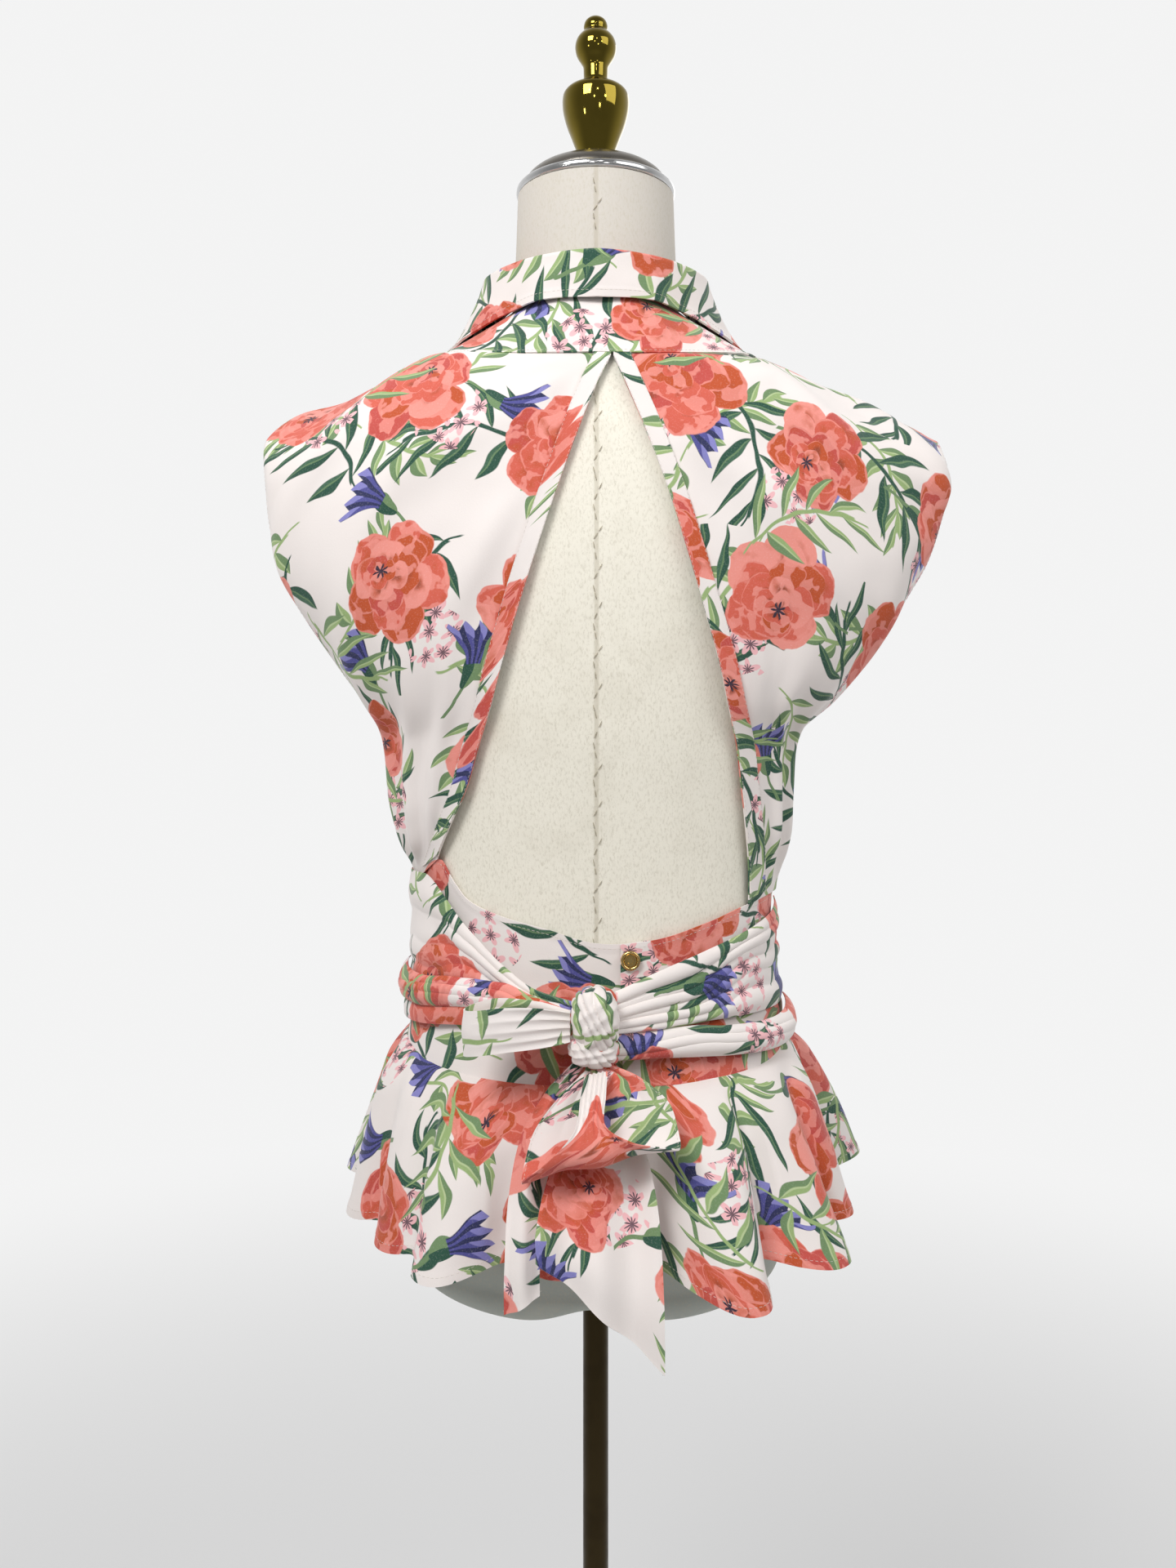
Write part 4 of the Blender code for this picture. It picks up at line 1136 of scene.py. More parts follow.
@dataclass
class Needlework:
    """Stitches laid along rows by Geometry Nodes, all of one thread as one piece."""

    pitch: float = 0.0029
    length: float = 0.0021
    thickness: float = 0.00026

    def tree(self, finish: bpy.types.Material) -> bpy.types.NodeTree:
        """Builds the tree that turns rows of points into stitches."""
        tree = bpy.data.node_groups.new("stitches along rows", "GeometryNodeTree")
        face = tree.interface
        face.new_socket("Geometry", in_out="INPUT", socket_type="NodeSocketGeometry")
        for name in ("Pitch", "Stitch length", "Stitch thickness"):
            face.new_socket(name, in_out="INPUT", socket_type="NodeSocketFloat")
        face.new_socket("Geometry", in_out="OUTPUT", socket_type="NodeSocketGeometry")

        def node(kind: str, **links: bpy.types.NodeSocket) -> bpy.types.Node:
            """Adds a node and links its inputs by name."""
            made = tree.nodes.new(kind)
            for name, socket in links.items():
                tree.links.new(socket, made.inputs[name.replace("_", " ")])
            return made

        start = tree.nodes.new("NodeGroupInput")
        line = node("GeometryNodeMeshToCurve", Mesh=start.outputs["Geometry"])
        spaced = tree.nodes.new("GeometryNodeResampleCurve")
        spaced.mode = "LENGTH"
        tree.links.new(line.outputs["Curve"], spaced.inputs["Curve"])
        tree.links.new(start.outputs["Pitch"], spaced.inputs["Length"])
        tangent = tree.nodes.new("GeometryNodeInputTangent")
        along_row = tree.nodes.new("FunctionNodeAlignRotationToVector")
        along_row.axis = "X"
        tree.links.new(tangent.outputs[0], along_row.inputs["Vector"])
        grain = tree.nodes.new("GeometryNodeMeshUVSphere")
        grain.inputs["Segments"].default_value = 6
        grain.inputs["Rings"].default_value = 4
        grain.inputs["Radius"].default_value = 0.5
        size = tree.nodes.new("ShaderNodeCombineXYZ")
        tree.links.new(start.outputs["Stitch length"], size.inputs["X"])
        tree.links.new(start.outputs["Stitch thickness"], size.inputs["Y"])
        tree.links.new(start.outputs["Stitch thickness"], size.inputs["Z"])
        spots, shape = spaced.outputs["Curve"], grain.outputs["Mesh"]
        laid = node("GeometryNodeInstanceOnPoints", Points=spots, Instance=shape)
        tree.links.new(along_row.outputs["Rotation"], laid.inputs["Rotation"])
        tree.links.new(size.outputs[0], laid.inputs["Scale"])
        real = node("GeometryNodeRealizeInstances", Geometry=laid.outputs["Instances"])
        dressed = node("GeometryNodeSetMaterial", Geometry=real.outputs["Geometry"])
        dressed.inputs["Material"].default_value = finish
        end = tree.nodes.new("NodeGroupOutput")
        tree.links.new(dressed.outputs["Geometry"], end.inputs["Geometry"])
        return tree

    def sew(
        self, name: str, rows: Sequence[StitchRow], finish: bpy.types.Material, slot: str
    ) -> bpy.types.Object:
        """Sews rows of stitches as one piece.

        Args:
            name: The piece's name.
            rows: The rows.
            finish: The thread.
            slot: The slot that the thread goes with; not used.

        Returns:
            The stitches.
        """
        points, edges = [], []
        for row in rows:
            first = len(points)
            points += (row.points + row.normals * self.thickness * 0.15).tolist()
            edges += [(first + i, first + i + 1) for i in range(len(row.points) - 1)]
        mesh = bpy.data.meshes.new(name)
        mesh.from_pydata(points, edges, [])
        mesh.materials.append(finish)
        obj = bpy.data.objects.new(name, mesh)
        bpy.context.scene.collection.objects.link(obj)
        modifier = obj.modifiers.new("stitches", "NODES")
        modifier.node_group = self.tree(finish)
        values = {"Pitch": self.pitch, "Stitch length": self.length, "Stitch thickness": self.thickness}
        for item in modifier.node_group.interface.items_tree:
            if item.in_out == "INPUT" and item.name in values:
                modifier[item.identifier] = values[item.name]
        baked(obj)
        obj.data.shade_smooth()
        return placed(obj, slot)


class Shoulder(NamedTuple):
    """The shoulder line at y = 0, and how far below it the cloth reaches its full depth."""

    x: float
    height: float
    roof: float


class Outline(NamedTuple):
    """Half widths on the left and on the right, by height."""

    height: float
    left: float
    right: float


class Depth(NamedTuple):
    """How far the armhole's edge stands from the side seam's plane, by height."""

    height: float
    depth: float


class Seam(NamedTuple):
    """A seam's height, by x."""

    x: float
    height: float


class CollarRow(NamedTuple):
    """The collar by angle: the fold's place and height, and the fall's free edge."""

    angle: float
    fold_radius: float
    fold_height: float
    edge_x: float
    edge_y: float
    edge_height: float


class Press(NamedTuple):
    """How far the fall's free edge is pressed in and down towards the cloth below, by angle."""

    angle: float
    depth: float


class BandRow(NamedTuple):
    """The waistband's two edges, by angle."""

    angle: float
    top: float
    foot: float


class Flute(NamedTuple):
    """A flute of the hem."""

    angle: float
    reach: float
    width: float
    drop: float


class TieRow(NamedTuple):
    """A tie's edges and its rise towards the knot, by angle."""

    angle: float
    top: float
    foot: float
    rise: float


class Stop(NamedTuple):
    """A point of a bow band's middle line, with half the band's width."""

    x: float
    y: float
    z: float
    half_width: float


def edge_name(side: int) -> str:
    """Names a side."""
    return "right" if side > 0 else "left"


@dataclass
class Bodice:
    """The four bodice panels, the bindings of the open back, the yoke and the collar."""

    form: DressForm
    layer: float = 0.0026
    squareness: float = 2.3
    binding_width: float = 0.0105
    collar_end: float = 176.0
    gather_height: float = 0.0060
    slant_height: float = 0.0036
    fine_height: float = 0.0026
    under_collar: tuple[float, float] = (1.365, 1.30)
    left_tip: float = 1.3560
    right_tip: float = 1.3490
    shoulder_line: tuple[Shoulder, ...] = (
        Shoulder(0.000, 1.5400, 0.090),
        Shoulder(0.030, 1.4800, 0.088),
        Shoulder(0.045, 1.4500, 0.080),
        Shoulder(0.055, 1.4345, 0.074),
        Shoulder(0.064, 1.4255, 0.067),
        Shoulder(0.070, 1.4215, 0.061),
        Shoulder(0.084, 1.4133, 0.053),
        Shoulder(0.100, 1.4040, 0.046),
        Shoulder(0.117, 1.3965, 0.048),
        Shoulder(0.147, 1.3805, 0.050),
        Shoulder(0.163, 1.3730, 0.050),
        Shoulder(0.190, 1.3635, 0.050),
        Shoulder(0.204, 1.3575, 0.048),
        Shoulder(0.219, 1.3485, 0.045),
    )
    side_outline: tuple[Outline, ...] = (
        Outline(1.066, 0.1145, 0.1145),
        Outline(1.084, 0.1152, 0.1152),
        Outline(1.105, 0.1225, 0.1195),
        Outline(1.124, 0.1280, 0.1210),
        Outline(1.150, 0.1310, 0.1240),
        Outline(1.168, 0.1350, 0.1310),
        Outline(1.185, 0.1456, 0.1480),
        Outline(1.205, 0.1585, 0.1630),
        Outline(1.235, 0.1776, 0.1815),
        Outline(1.252, 0.1867, 0.1920),
        Outline(1.270, 0.1935, 0.2020),
        Outline(1.295, 0.1994, 0.2100),
        Outline(1.314, 0.2013, 0.2145),
        Outline(1.346, 0.2055, 0.2180),
        Outline(1.360, 0.2070, 0.2190),
    )
    armhole_depth: tuple[Depth, ...] = (
        Depth(1.164, 0.000),
        Depth(1.180, 0.014),
        Depth(1.210, 0.034),
        Depth(1.260, 0.046),
        Depth(1.300, 0.047),
        Depth(1.360, 0.040),
    )
    opening: tuple[Outline, ...] = (
        Outline(1.062, -0.1030, 0.0925),
        Outline(1.075, -0.1000, 0.0925),
        Outline(1.090, -0.0960, 0.0918),
        Outline(1.103, -0.0905, 0.0903),
        Outline(1.118, -0.0835, 0.0885),
        Outline(1.132, -0.0770, 0.0866),
        Outline(1.158, -0.0690, 0.0830),
        Outline(1.184, -0.0607, 0.0764),
        Outline(1.205, -0.0550, 0.0716),
        Outline(1.236, -0.0460, 0.0626),
        Outline(1.272, -0.0346, 0.0520),
        Outline(1.311, -0.0215, 0.0397),
        Outline(1.351, -0.0072, 0.0250),
        Outline(1.372, 0.0010, 0.0166),
        Outline(1.388, 0.0086, 0.0100),
    )
    yoke_seam: tuple[Seam, ...] = (
        Seam(0.000, 1.3900),
        Seam(0.037, 1.3895),
        Seam(0.060, 1.3925),
        Seam(0.080, 1.3945),
        Seam(0.094, 1.3975),
        Seam(0.104, 1.4022),
    )
    back_neck: tuple[Seam, ...] = (
        Seam(0.000, 1.4330),
        Seam(0.030, 1.4320),
        Seam(0.050, 1.4290),
        Seam(0.064, 1.4255),
    )
    front_neck: tuple[Seam, ...] = (
        Seam(0.000, 1.4060),
        Seam(0.025, 1.4075),
        Seam(0.045, 1.4120),
        Seam(0.058, 1.4185),
        Seam(0.064, 1.4255),
    )
    collar_rows: tuple[CollarRow, ...] = (
        CollarRow(0, 0.0635, 1.4560, 0.0000, -0.0700, 1.4320),
        CollarRow(30, 0.0640, 1.4550, 0.0355, -0.0620, 1.4305),
        CollarRow(50, 0.0650, 1.4550, 0.0575, -0.0430, 1.4270),
        CollarRow(66, 0.0670, 1.4555, 0.0735, -0.0300, 1.4205),
        CollarRow(80, 0.0700, 1.4560, 0.0890, -0.0130, 1.4145),
        CollarRow(96, 0.0715, 1.4550, 0.1090, 0.0110, 1.4055),
        CollarRow(112, 0.0725, 1.4500, 0.1190, 0.0450, 1.3910),
        CollarRow(132, 0.0730, 1.4420, 0.0960, 0.0790, 1.3690),
        CollarRow(156, 0.0735, 1.4330, 0.0550, 0.0880, 1.3580),
        CollarRow(178, 0.0740, 1.4280, 0.0220, 0.0900, 1.3520),
    )
    collar_press: tuple[Press, ...] = (
        Press(0, 0.0068), Press(20, 0.0052), Press(42, 0.0050), Press(56, 0.0036), Press(70, 0.0022),
        Press(78, 0.0014), Press(84, 0.0018), Press(92, 0.0030), Press(106, 0.0028), Press(113, 0.0034),
        Press(121, 0.0024), Press(134, 0.0032), Press(148, 0.0056), Press(178, 0.0058),
    )
    band: tuple[BandRow, ...] = (
        BandRow(-180, 1.0600, 0.9700),
        BandRow(-90, 1.0700, 0.9740),
        BandRow(-70, 1.0850, 0.9710),
        BandRow(-54, 1.0880, 0.9665),
        BandRow(-47, 1.0760, 0.9650),
        BandRow(-40, 1.0650, 0.9640),
        BandRow(-26, 1.0560, 0.9620),
        BandRow(-13, 1.0500, 0.9610),
        BandRow(3, 1.0410, 0.9610),
        BandRow(13, 1.0430, 0.9610),
        BandRow(33, 1.0520, 0.9625),
        BandRow(52, 1.0605, 0.9650),
        BandRow(90, 1.0665, 0.9740),
        BandRow(180, 1.0600, 0.9700),
    )

    def at(self, x: Array, height: Array, facing: int, side: int) -> Array:
        """Gives points of the inner side: facing is -1 at the back and 1 at the front."""
        outer = read(self.side_outline, edge_name(side), height)
        armhole = read(self.armhole_depth, "depth", height)
        middle = self.form.ring("back" if facing < 0 else "front", height) + self.layer
        share = np.clip(np.abs(x) / outer, 0, 1)
        depth = mix(armhole, middle, (1 - share**self.squareness) ** (1 / self.squareness))
        line = read(self.shoulder_line, "height", np.abs(x))
        drop = np.clip((line - height) / read(self.shoulder_line, "roof", np.abs(x)), 0, 1)
        return stack(x, facing * (depth * np.sqrt(1 - (1 - drop) ** 2) + STITCHED_GAP / 2), height)

    def place_of(self, facing: int, side: int) -> Surface:
        """Gives a panel's points by the share across, from its inner edge, and the share up."""
        seam = self.yoke_seam if facing < 0 else self.front_neck
        foot_angle = {-1: -54, 1: 52}[side] if facing < 0 else 180
        inner_foot = float(read(self.band, "top", np.array(foot_angle))) + SEAM_GAP
        outer_foot = float(read(self.band, "top", np.array(side * 90))) + SEAM_GAP

        def inner_x(height: Array) -> Array:
            """The inner edge."""
            if facing > 0:
                return side * STITCHED_GAP / 2 + 0 * height
            return read(self.opening, edge_name(side), height)

        def outer_x(height: Array) -> Array:
            """The armhole's edge or the side seam."""
            return side * read(self.side_outline, edge_name(side), height)

        def top_height(x: Array) -> Array:
            """The edge at the yoke or neck, and the shoulder seam beyond it."""
            line = read(self.shoulder_line, "height", np.abs(x))
            under_yoke = 0.0018 if facing < 0 else -SEAM_GAP
            return np.where(np.abs(x) < seam[-1].x, read(seam, "height", np.abs(x)) + under_yoke, line)

        inner_top = float(top_height(inner_x(np.array(self.opening[-1].height))))
        outer_top = self.left_tip if side < 0 else self.right_tip

        def place(across: Array, up: Array) -> Array:
            """The point at a share across and a share up."""
            x = mix(inner_x(mix(inner_foot, inner_top, up)), outer_x(mix(outer_foot, outer_top, up)), across)
            top = top_height(mix(inner_x(np.array(inner_top)), outer_x(np.array(outer_top)), across))
            return self.at(x, mix(mix(inner_foot, outer_foot, across), top, up), facing, side)

        return place

    def panel(self, facing: int, side: int) -> Surface:
        """A bodice panel, with closer rows at the shoulder and closer columns at the side."""
        place = self.place_of(facing, side)

        def spaced(u: Array, v: Array) -> Array:
            """The panel's inner side."""
            return place(mix(u, np.sin(np.pi / 2 * u), 0.65), mix(v, 1 - (1 - v) ** 2, 0.8))

        return spaced

    def binding(self, side: int) -> Surface:
        """The strip along one edge of the open back."""
        place = self.place_of(-1, side)
        foot, apex, step = 0.012, 0.996, 1e-3
        off = FABRIC + SEAM_GAP

        def strip(u: Array, v: Array) -> Array:
            """The strip on the panel's own surface."""
            up = mix(foot, apex, v)
            edge, far = place(0 * up, up), place(1 + 0 * up, up)
            return place(u * self.binding_width / np.abs(far - edge)[..., 0], up)

        def surface(u: Array, v: Array) -> Array:
            """The strip moved out."""
            across = strip(u + step, v) - strip(u - step, v)
            up = strip(u, v + step) - strip(u, v - step)
            return strip(u, v) + off * unit(np.cross(across, up)) * side

        return surface

    def yoke(self, u: Array, v: Array) -> Array:
        """The back yoke, from its edge on the panels (v = 0) to the neck (v = 1)."""
        swing = np.sin(np.pi / 2 * (2 * u - 1))
        seam_x, neck_x = self.yoke_seam[-1].x * swing, self.back_neck[-1].x * swing
        seam = self.at(seam_x, read(self.yoke_seam, "height", np.abs(seam_x)), -1, 1)
        neck = self.at(neck_x, read(self.back_neck, "height", np.abs(neck_x)), -1, 1)
        over_panels = (FABRIC + SEAM_GAP) * (1 - v) ** 2
        return mix(seam, neck, v[..., None]) + over_panels[..., None] * np.array((0, -0.8, 0.6))

    def collar(self, u: Array, v: Array) -> Array:
        """The collar, from the stand's foot (v = 0), over the fold, to the fall's free edge (v = 1)."""
        stand_end, roll_end, roll, sag_depth = 0.3, 0.46, 0.0017, 0.007
        press_out, press_down = 0.72, 0.69
        angle = mix(-self.collar_end, self.collar_end, u)
        reach = np.abs(angle)
        out = stack(np.sin(np.radians(angle)), -np.cos(np.radians(angle)), 0)
        neck_x = self.back_neck[-1].x * np.sin(np.radians(angle))
        back = self.at(neck_x, read(self.back_neck, "height", np.abs(neck_x)), -1, 1)
        front = self.at(neck_x, read(self.front_neck, "height", np.abs(neck_x)), 1, 1)
        foot = np.where((reach < 90)[..., None], back, front) + CLOTH * out + (0, 0, 1.3 * CLOTH)
        centre = out * read(self.collar_rows, "fold_radius", reach)[..., None]
        centre[..., 2] = read(self.collar_rows, "fold_height", reach) - roll
        edge = stack(
            np.sign(angle) * read(self.collar_rows, "edge_x", reach),
            read(self.collar_rows, "edge_y", reach),
            read(self.collar_rows, "edge_height", reach),
        )
        pressed = read(self.collar_press, "depth", reach)[..., None]
        edge = edge - pressed * (press_out * out + (0, 0, press_down))
        stand_share = np.clip(v / stand_end, 0, 1)[..., None]
        turn = np.pi * (1 - np.clip((v - stand_end) / (roll_end - stand_end), 0, 1))
        fall_share = np.clip((v - roll_end) / (1 - roll_end), 0, 1)
        fold = centre + out * (roll * np.cos(turn))[..., None] + stack(0, 0, roll * np.sin(turn))
        stand = mix(foot, centre - out * roll, stand_share)
        sag = sag_depth * ease(reach, 30, 90) * 4 * fall_share * (1 - fall_share)
        fall = mix(centre + out * roll, edge, fall_share[..., None]) - stack(0, 0, sag)
        return np.where((v < stand_end)[..., None], stand, np.where((v < roll_end)[..., None], fold, fall))

    def panel_folds(self, facing: int, side: int) -> Surface:
        """Soft folds of a panel: drawn in at the waist, and slanting from the armhole."""
        seed = 11 + 3 * facing + side
        place = self.panel(facing, side)

        def folds(u: Array, v: Array) -> Array:
            """The folds' height, none under the binding or under the collar's front."""
            points = place(u, v)
            reach = np.linalg.norm(points - place(0 * u, v), axis=-1)
            low = 1 - ease(v, 0.04, 0.42)
            gathers = (0.5 + 0.5 * np.cos(2 * np.pi * (3.5 * u + 0.6 * v + 0.13 * seed))) ** 1.6
            slant = (0.5 + 0.5 * np.cos(2 * np.pi * (2.2 * u + 3.1 * v + 0.2 * seed))) ** 2
            inside = ease(reach, 0.012, 0.034) * ease(1 - u, 0.0, 0.06) * ease(1 - v, 0.0, 0.08)
            if facing > 0:
                inside = inside * ease(points[..., 2], *self.under_collar)
            fine = creases(0.14 * u, 0.33 * v, seed, 7, 0.028, 0.5 * side)
            drawn = self.gather_height * gathers * low * ease(v, 0.0, 0.05)
            hung = self.slant_height * slant * ease(v, 0.1, 0.4)
            return inside * (drawn + hung + self.fine_height * fine)

        return folds

    def pieces(self) -> list[ClothPiece]:
        """Lists the bodice's pieces."""
        made = []
        print_places = {
            (-1, -1): (0.213, 0.318), (-1, 1): (0.742, 0.127), (1, -1): (1.31, 0.84), (1, 1): (1.93, 0.41),
        }
        for facing, face_name in ((-1, "back"), (1, "front")):
            for side in (-1, 1):
                hems = [Hem(Edge.END, 0.0085)]
                if facing < 0:
                    hems.append(Hem(Edge.START, 0.0020, 0.0004, False))
                band = ("form_body",) if facing > 0 else ("form_body", f"waistband_back_{edge_name(side)}")
                made.append(ClothPiece(
                    f"{face_name}_{edge_name(side)}", self.panel(facing, side), 78, 124,
                    -1 if facing * side > 0 else 1, tuple(hems), self.panel_folds(facing, side),
                    print_places[facing, side], 0.25 * side, rests_on=band,
                ))
        for side in (-1, 1):
            made.append(ClothPiece(
                f"opening_binding_{edge_name(side)}", self.binding(side), 10, 150, 1 if side > 0 else -1,
                (Hem(Edge.START, 0.0018, 0.0002), Hem(Edge.END, 0.0018, 0.0002)),
                soft_folds(0.0004, (0.0105, 0.34), 5, 5, 0.012, 1.2), (2.4 + 0.3 * side, 0.66),
                1.3 * side, rests_on=(f"back_{edge_name(side)}",),
            ))
        made.append(ClothPiece(
            "yoke", self.yoke, 150, 30, 1, (Hem(Edge.FOOT, 0.0030, 0.0005),),
            soft_folds(0.0012, (0.2, 0.05), 8, 6, 0.03, fade=(0, 0.3), top_fade=0.3),
            (4.54, 0.562), 0.0, rests_on=("back_left", "back_right"),
        ))
        made.append(ClothPiece(
            "collar", self.collar, 230, 52, -1,
            tuple(Hem(edge, 0.0055, 0.0003) for edge in (Edge.TOP, Edge.START, Edge.END)),
            soft_folds(0.0011, (0.46, 0.09), 21, 7, 0.03, fade=(0.5, 0.7)),
            (3.63, 0.91), 0.0, thickness=0.0011, rests_on=("yoke", "front_left", "front_right"),
        ))
        return made


@dataclass
class Waist:
    """The waistband's three pieces and the flared peplum's two halves."""

    form: DressForm
    bodice: Bodice
    layer: float = 0.0012
    seam_angle: float = 0.03
    overlap: tuple[float, float] = (5.2, 13.0)
    flute_sharpness: float = 2.6
    hem_height: float = 0.872
    hem_side: float = 0.1385
    hem_back: float = 0.1260
    hem_front: float = 0.1220
    hem_roundness: float = 0.92
    flutes: tuple[Flute, ...] = (
        Flute(-168, 0.024, 9, 0.004),
        Flute(-147, 0.022, 9, 0.002),
        Flute(-126, 0.026, 8, 0.000),
        Flute(-104, 0.032, 8.6, 0.002),
        Flute(-74, 0.018, 8, 0.004),
        Flute(-51, 0.016, 9, 0.006),
        Flute(-32, 0.029, 8, 0.009),
        Flute(-6, 0.016, 7, 0.002),
        Flute(24, 0.052, 8, 0.012),
        Flute(48, 0.043, 10, 0.006),
        Flute(71, 0.024, 7, 0.000),
        Flute(105, 0.045, 8, -0.006),
        Flute(130, 0.024, 9, 0.002),
        Flute(156, 0.023, 9, 0.004),
    )

    def waistband(self, start: float, end: float, lap: float = 0.0) -> Surface:
        """A part of the waistband between two angles. A lap lifts its start over the piece below."""
        band, overlap = self.bodice.band, self.overlap[1]

        def surface(u: Array, v: Array) -> Array:
            """The band's inner side."""
            angle = mix(start, end, u)
            height = mix(read(band, "foot", centred(angle)), read(band, "top", centred(angle)), v)
            lifted = lap * (1 - ease(angle, overlap + 2, 2.4 * overlap))
            return self.form.at(angle, height, self.layer + lifted)

        return surface

    def peplum(self, start: float, end: float) -> Surface:
        """Half of the peplum, from the hem (v = 0) to the waist seam (v = 1)."""

        def surface(u: Array, v: Array) -> Array:
            """The peplum's inner side."""
            angle = mix(start, end, u)
            fall = 1 - v
            seam_height = read(self.bodice.band, "foot", centred(angle)) - 0.5 * SEAM_GAP
            seam = self.form.at(angle, seam_height, self.layer)
            across, back = np.sin(np.radians(angle)), np.cos(np.radians(angle))
            hem_x = self.hem_side * rounded(self.hem_roundness, across)
            hem_y = -np.where(back > 0, self.hem_back, self.hem_front) * rounded(self.hem_roundness, back)
            out_x, out_y = hem_x / np.hypot(hem_x, hem_y), hem_y / np.hypot(hem_x, hem_y)
            reach, drop = 0, 0
            for flute in self.flutes:
                shape = np.exp(-np.abs(centred(angle - flute.angle) / flute.width) ** self.flute_sharpness)
                reach = reach + flute.reach * shape
                drop = drop + flute.drop * shape
            flare, flute_share = np.sqrt(fall), fall**0.85
            x = mix(seam[..., 0], hem_x, flare) + out_x * reach * flute_share
            y = mix(seam[..., 1], hem_y, flare) + out_y * reach * flute_share
            return stack(x, y, mix(seam[..., 2], self.hem_height - drop, fall))

        return surface

    def peplum_folds(self, seed: int) -> Surface:
        """Shade lines that run up from the flutes to the seam."""

        def folds(u: Array, v: Array) -> Array:
            """The folds' height."""
            phase = 10.5 * u + 0.33 * np.sin(2 * np.pi * 3 * u + seed) + 0.12 * np.sin(2 * np.pi * 7 * u)
            ridge = (1 - np.abs(np.sin(np.pi * phase))) ** 1.3
            fine = creases(0.5 * u, 0.1 * v, seed, 6, 0.03, 1.45)
            inside = ease(1 - v, 0.0, 0.25) * ease(u, 0, 0.03) * ease(1 - u, 0, 0.03)
            return inside * (0.0036 * ridge * mix(0.45, 1, ease(v, 0.0, 0.5)) + 0.0024 * fine)

        return folds

    def pieces(self) -> list[ClothPiece]:
        """Lists the waist's pieces."""
        lap, gap = CLOTH + SEAM_GAP, self.seam_angle
        bands = (
            ("waistband_back_left", self.waistband(-90 + gap, self.overlap[1]), 120, 60, (4.53, 0.175)),
            ("waistband_back_right", self.waistband(self.overlap[0], 90 - gap, lap), 110, 60, (4.71, 0.6)),
            ("waistband_front", self.waistband(90 + gap, 270 - gap), 180, 50, (5.3, 0.22)),
        )
        made = []
        for seed, (name, surface, columns, rows, print_at) in enumerate(bands, 31):
            folds = soft_folds(0.0009, (0.2, 0.09), seed, 6, 0.022, 0.2, fade=(0, 0.2))
            hems = (Hem(Edge.TOP, 0.0042, 0.0003),)
            made.append(ClothPiece(name, surface, columns, rows, 1, hems, folds, print_at))
        hem = (Hem(Edge.FOOT, 0.0060, 0.0003),)
        halves = (
            ("peplum_back", -90 + gap, 90 - gap, (5.93, 0.64)),
            ("peplum_front", 90 + gap, 270 - gap, (6.71, 0.2)),
        )
        for seed, (name, start, end, print_at) in enumerate(halves):
            made.append(ClothPiece(
                name, self.peplum(start, end), 264, 56, 1, hem, self.peplum_folds(seed), print_at,
                grain=Grain.FLARED, held="gathered", rests_on=("waistband_front",),
            ))
        return made


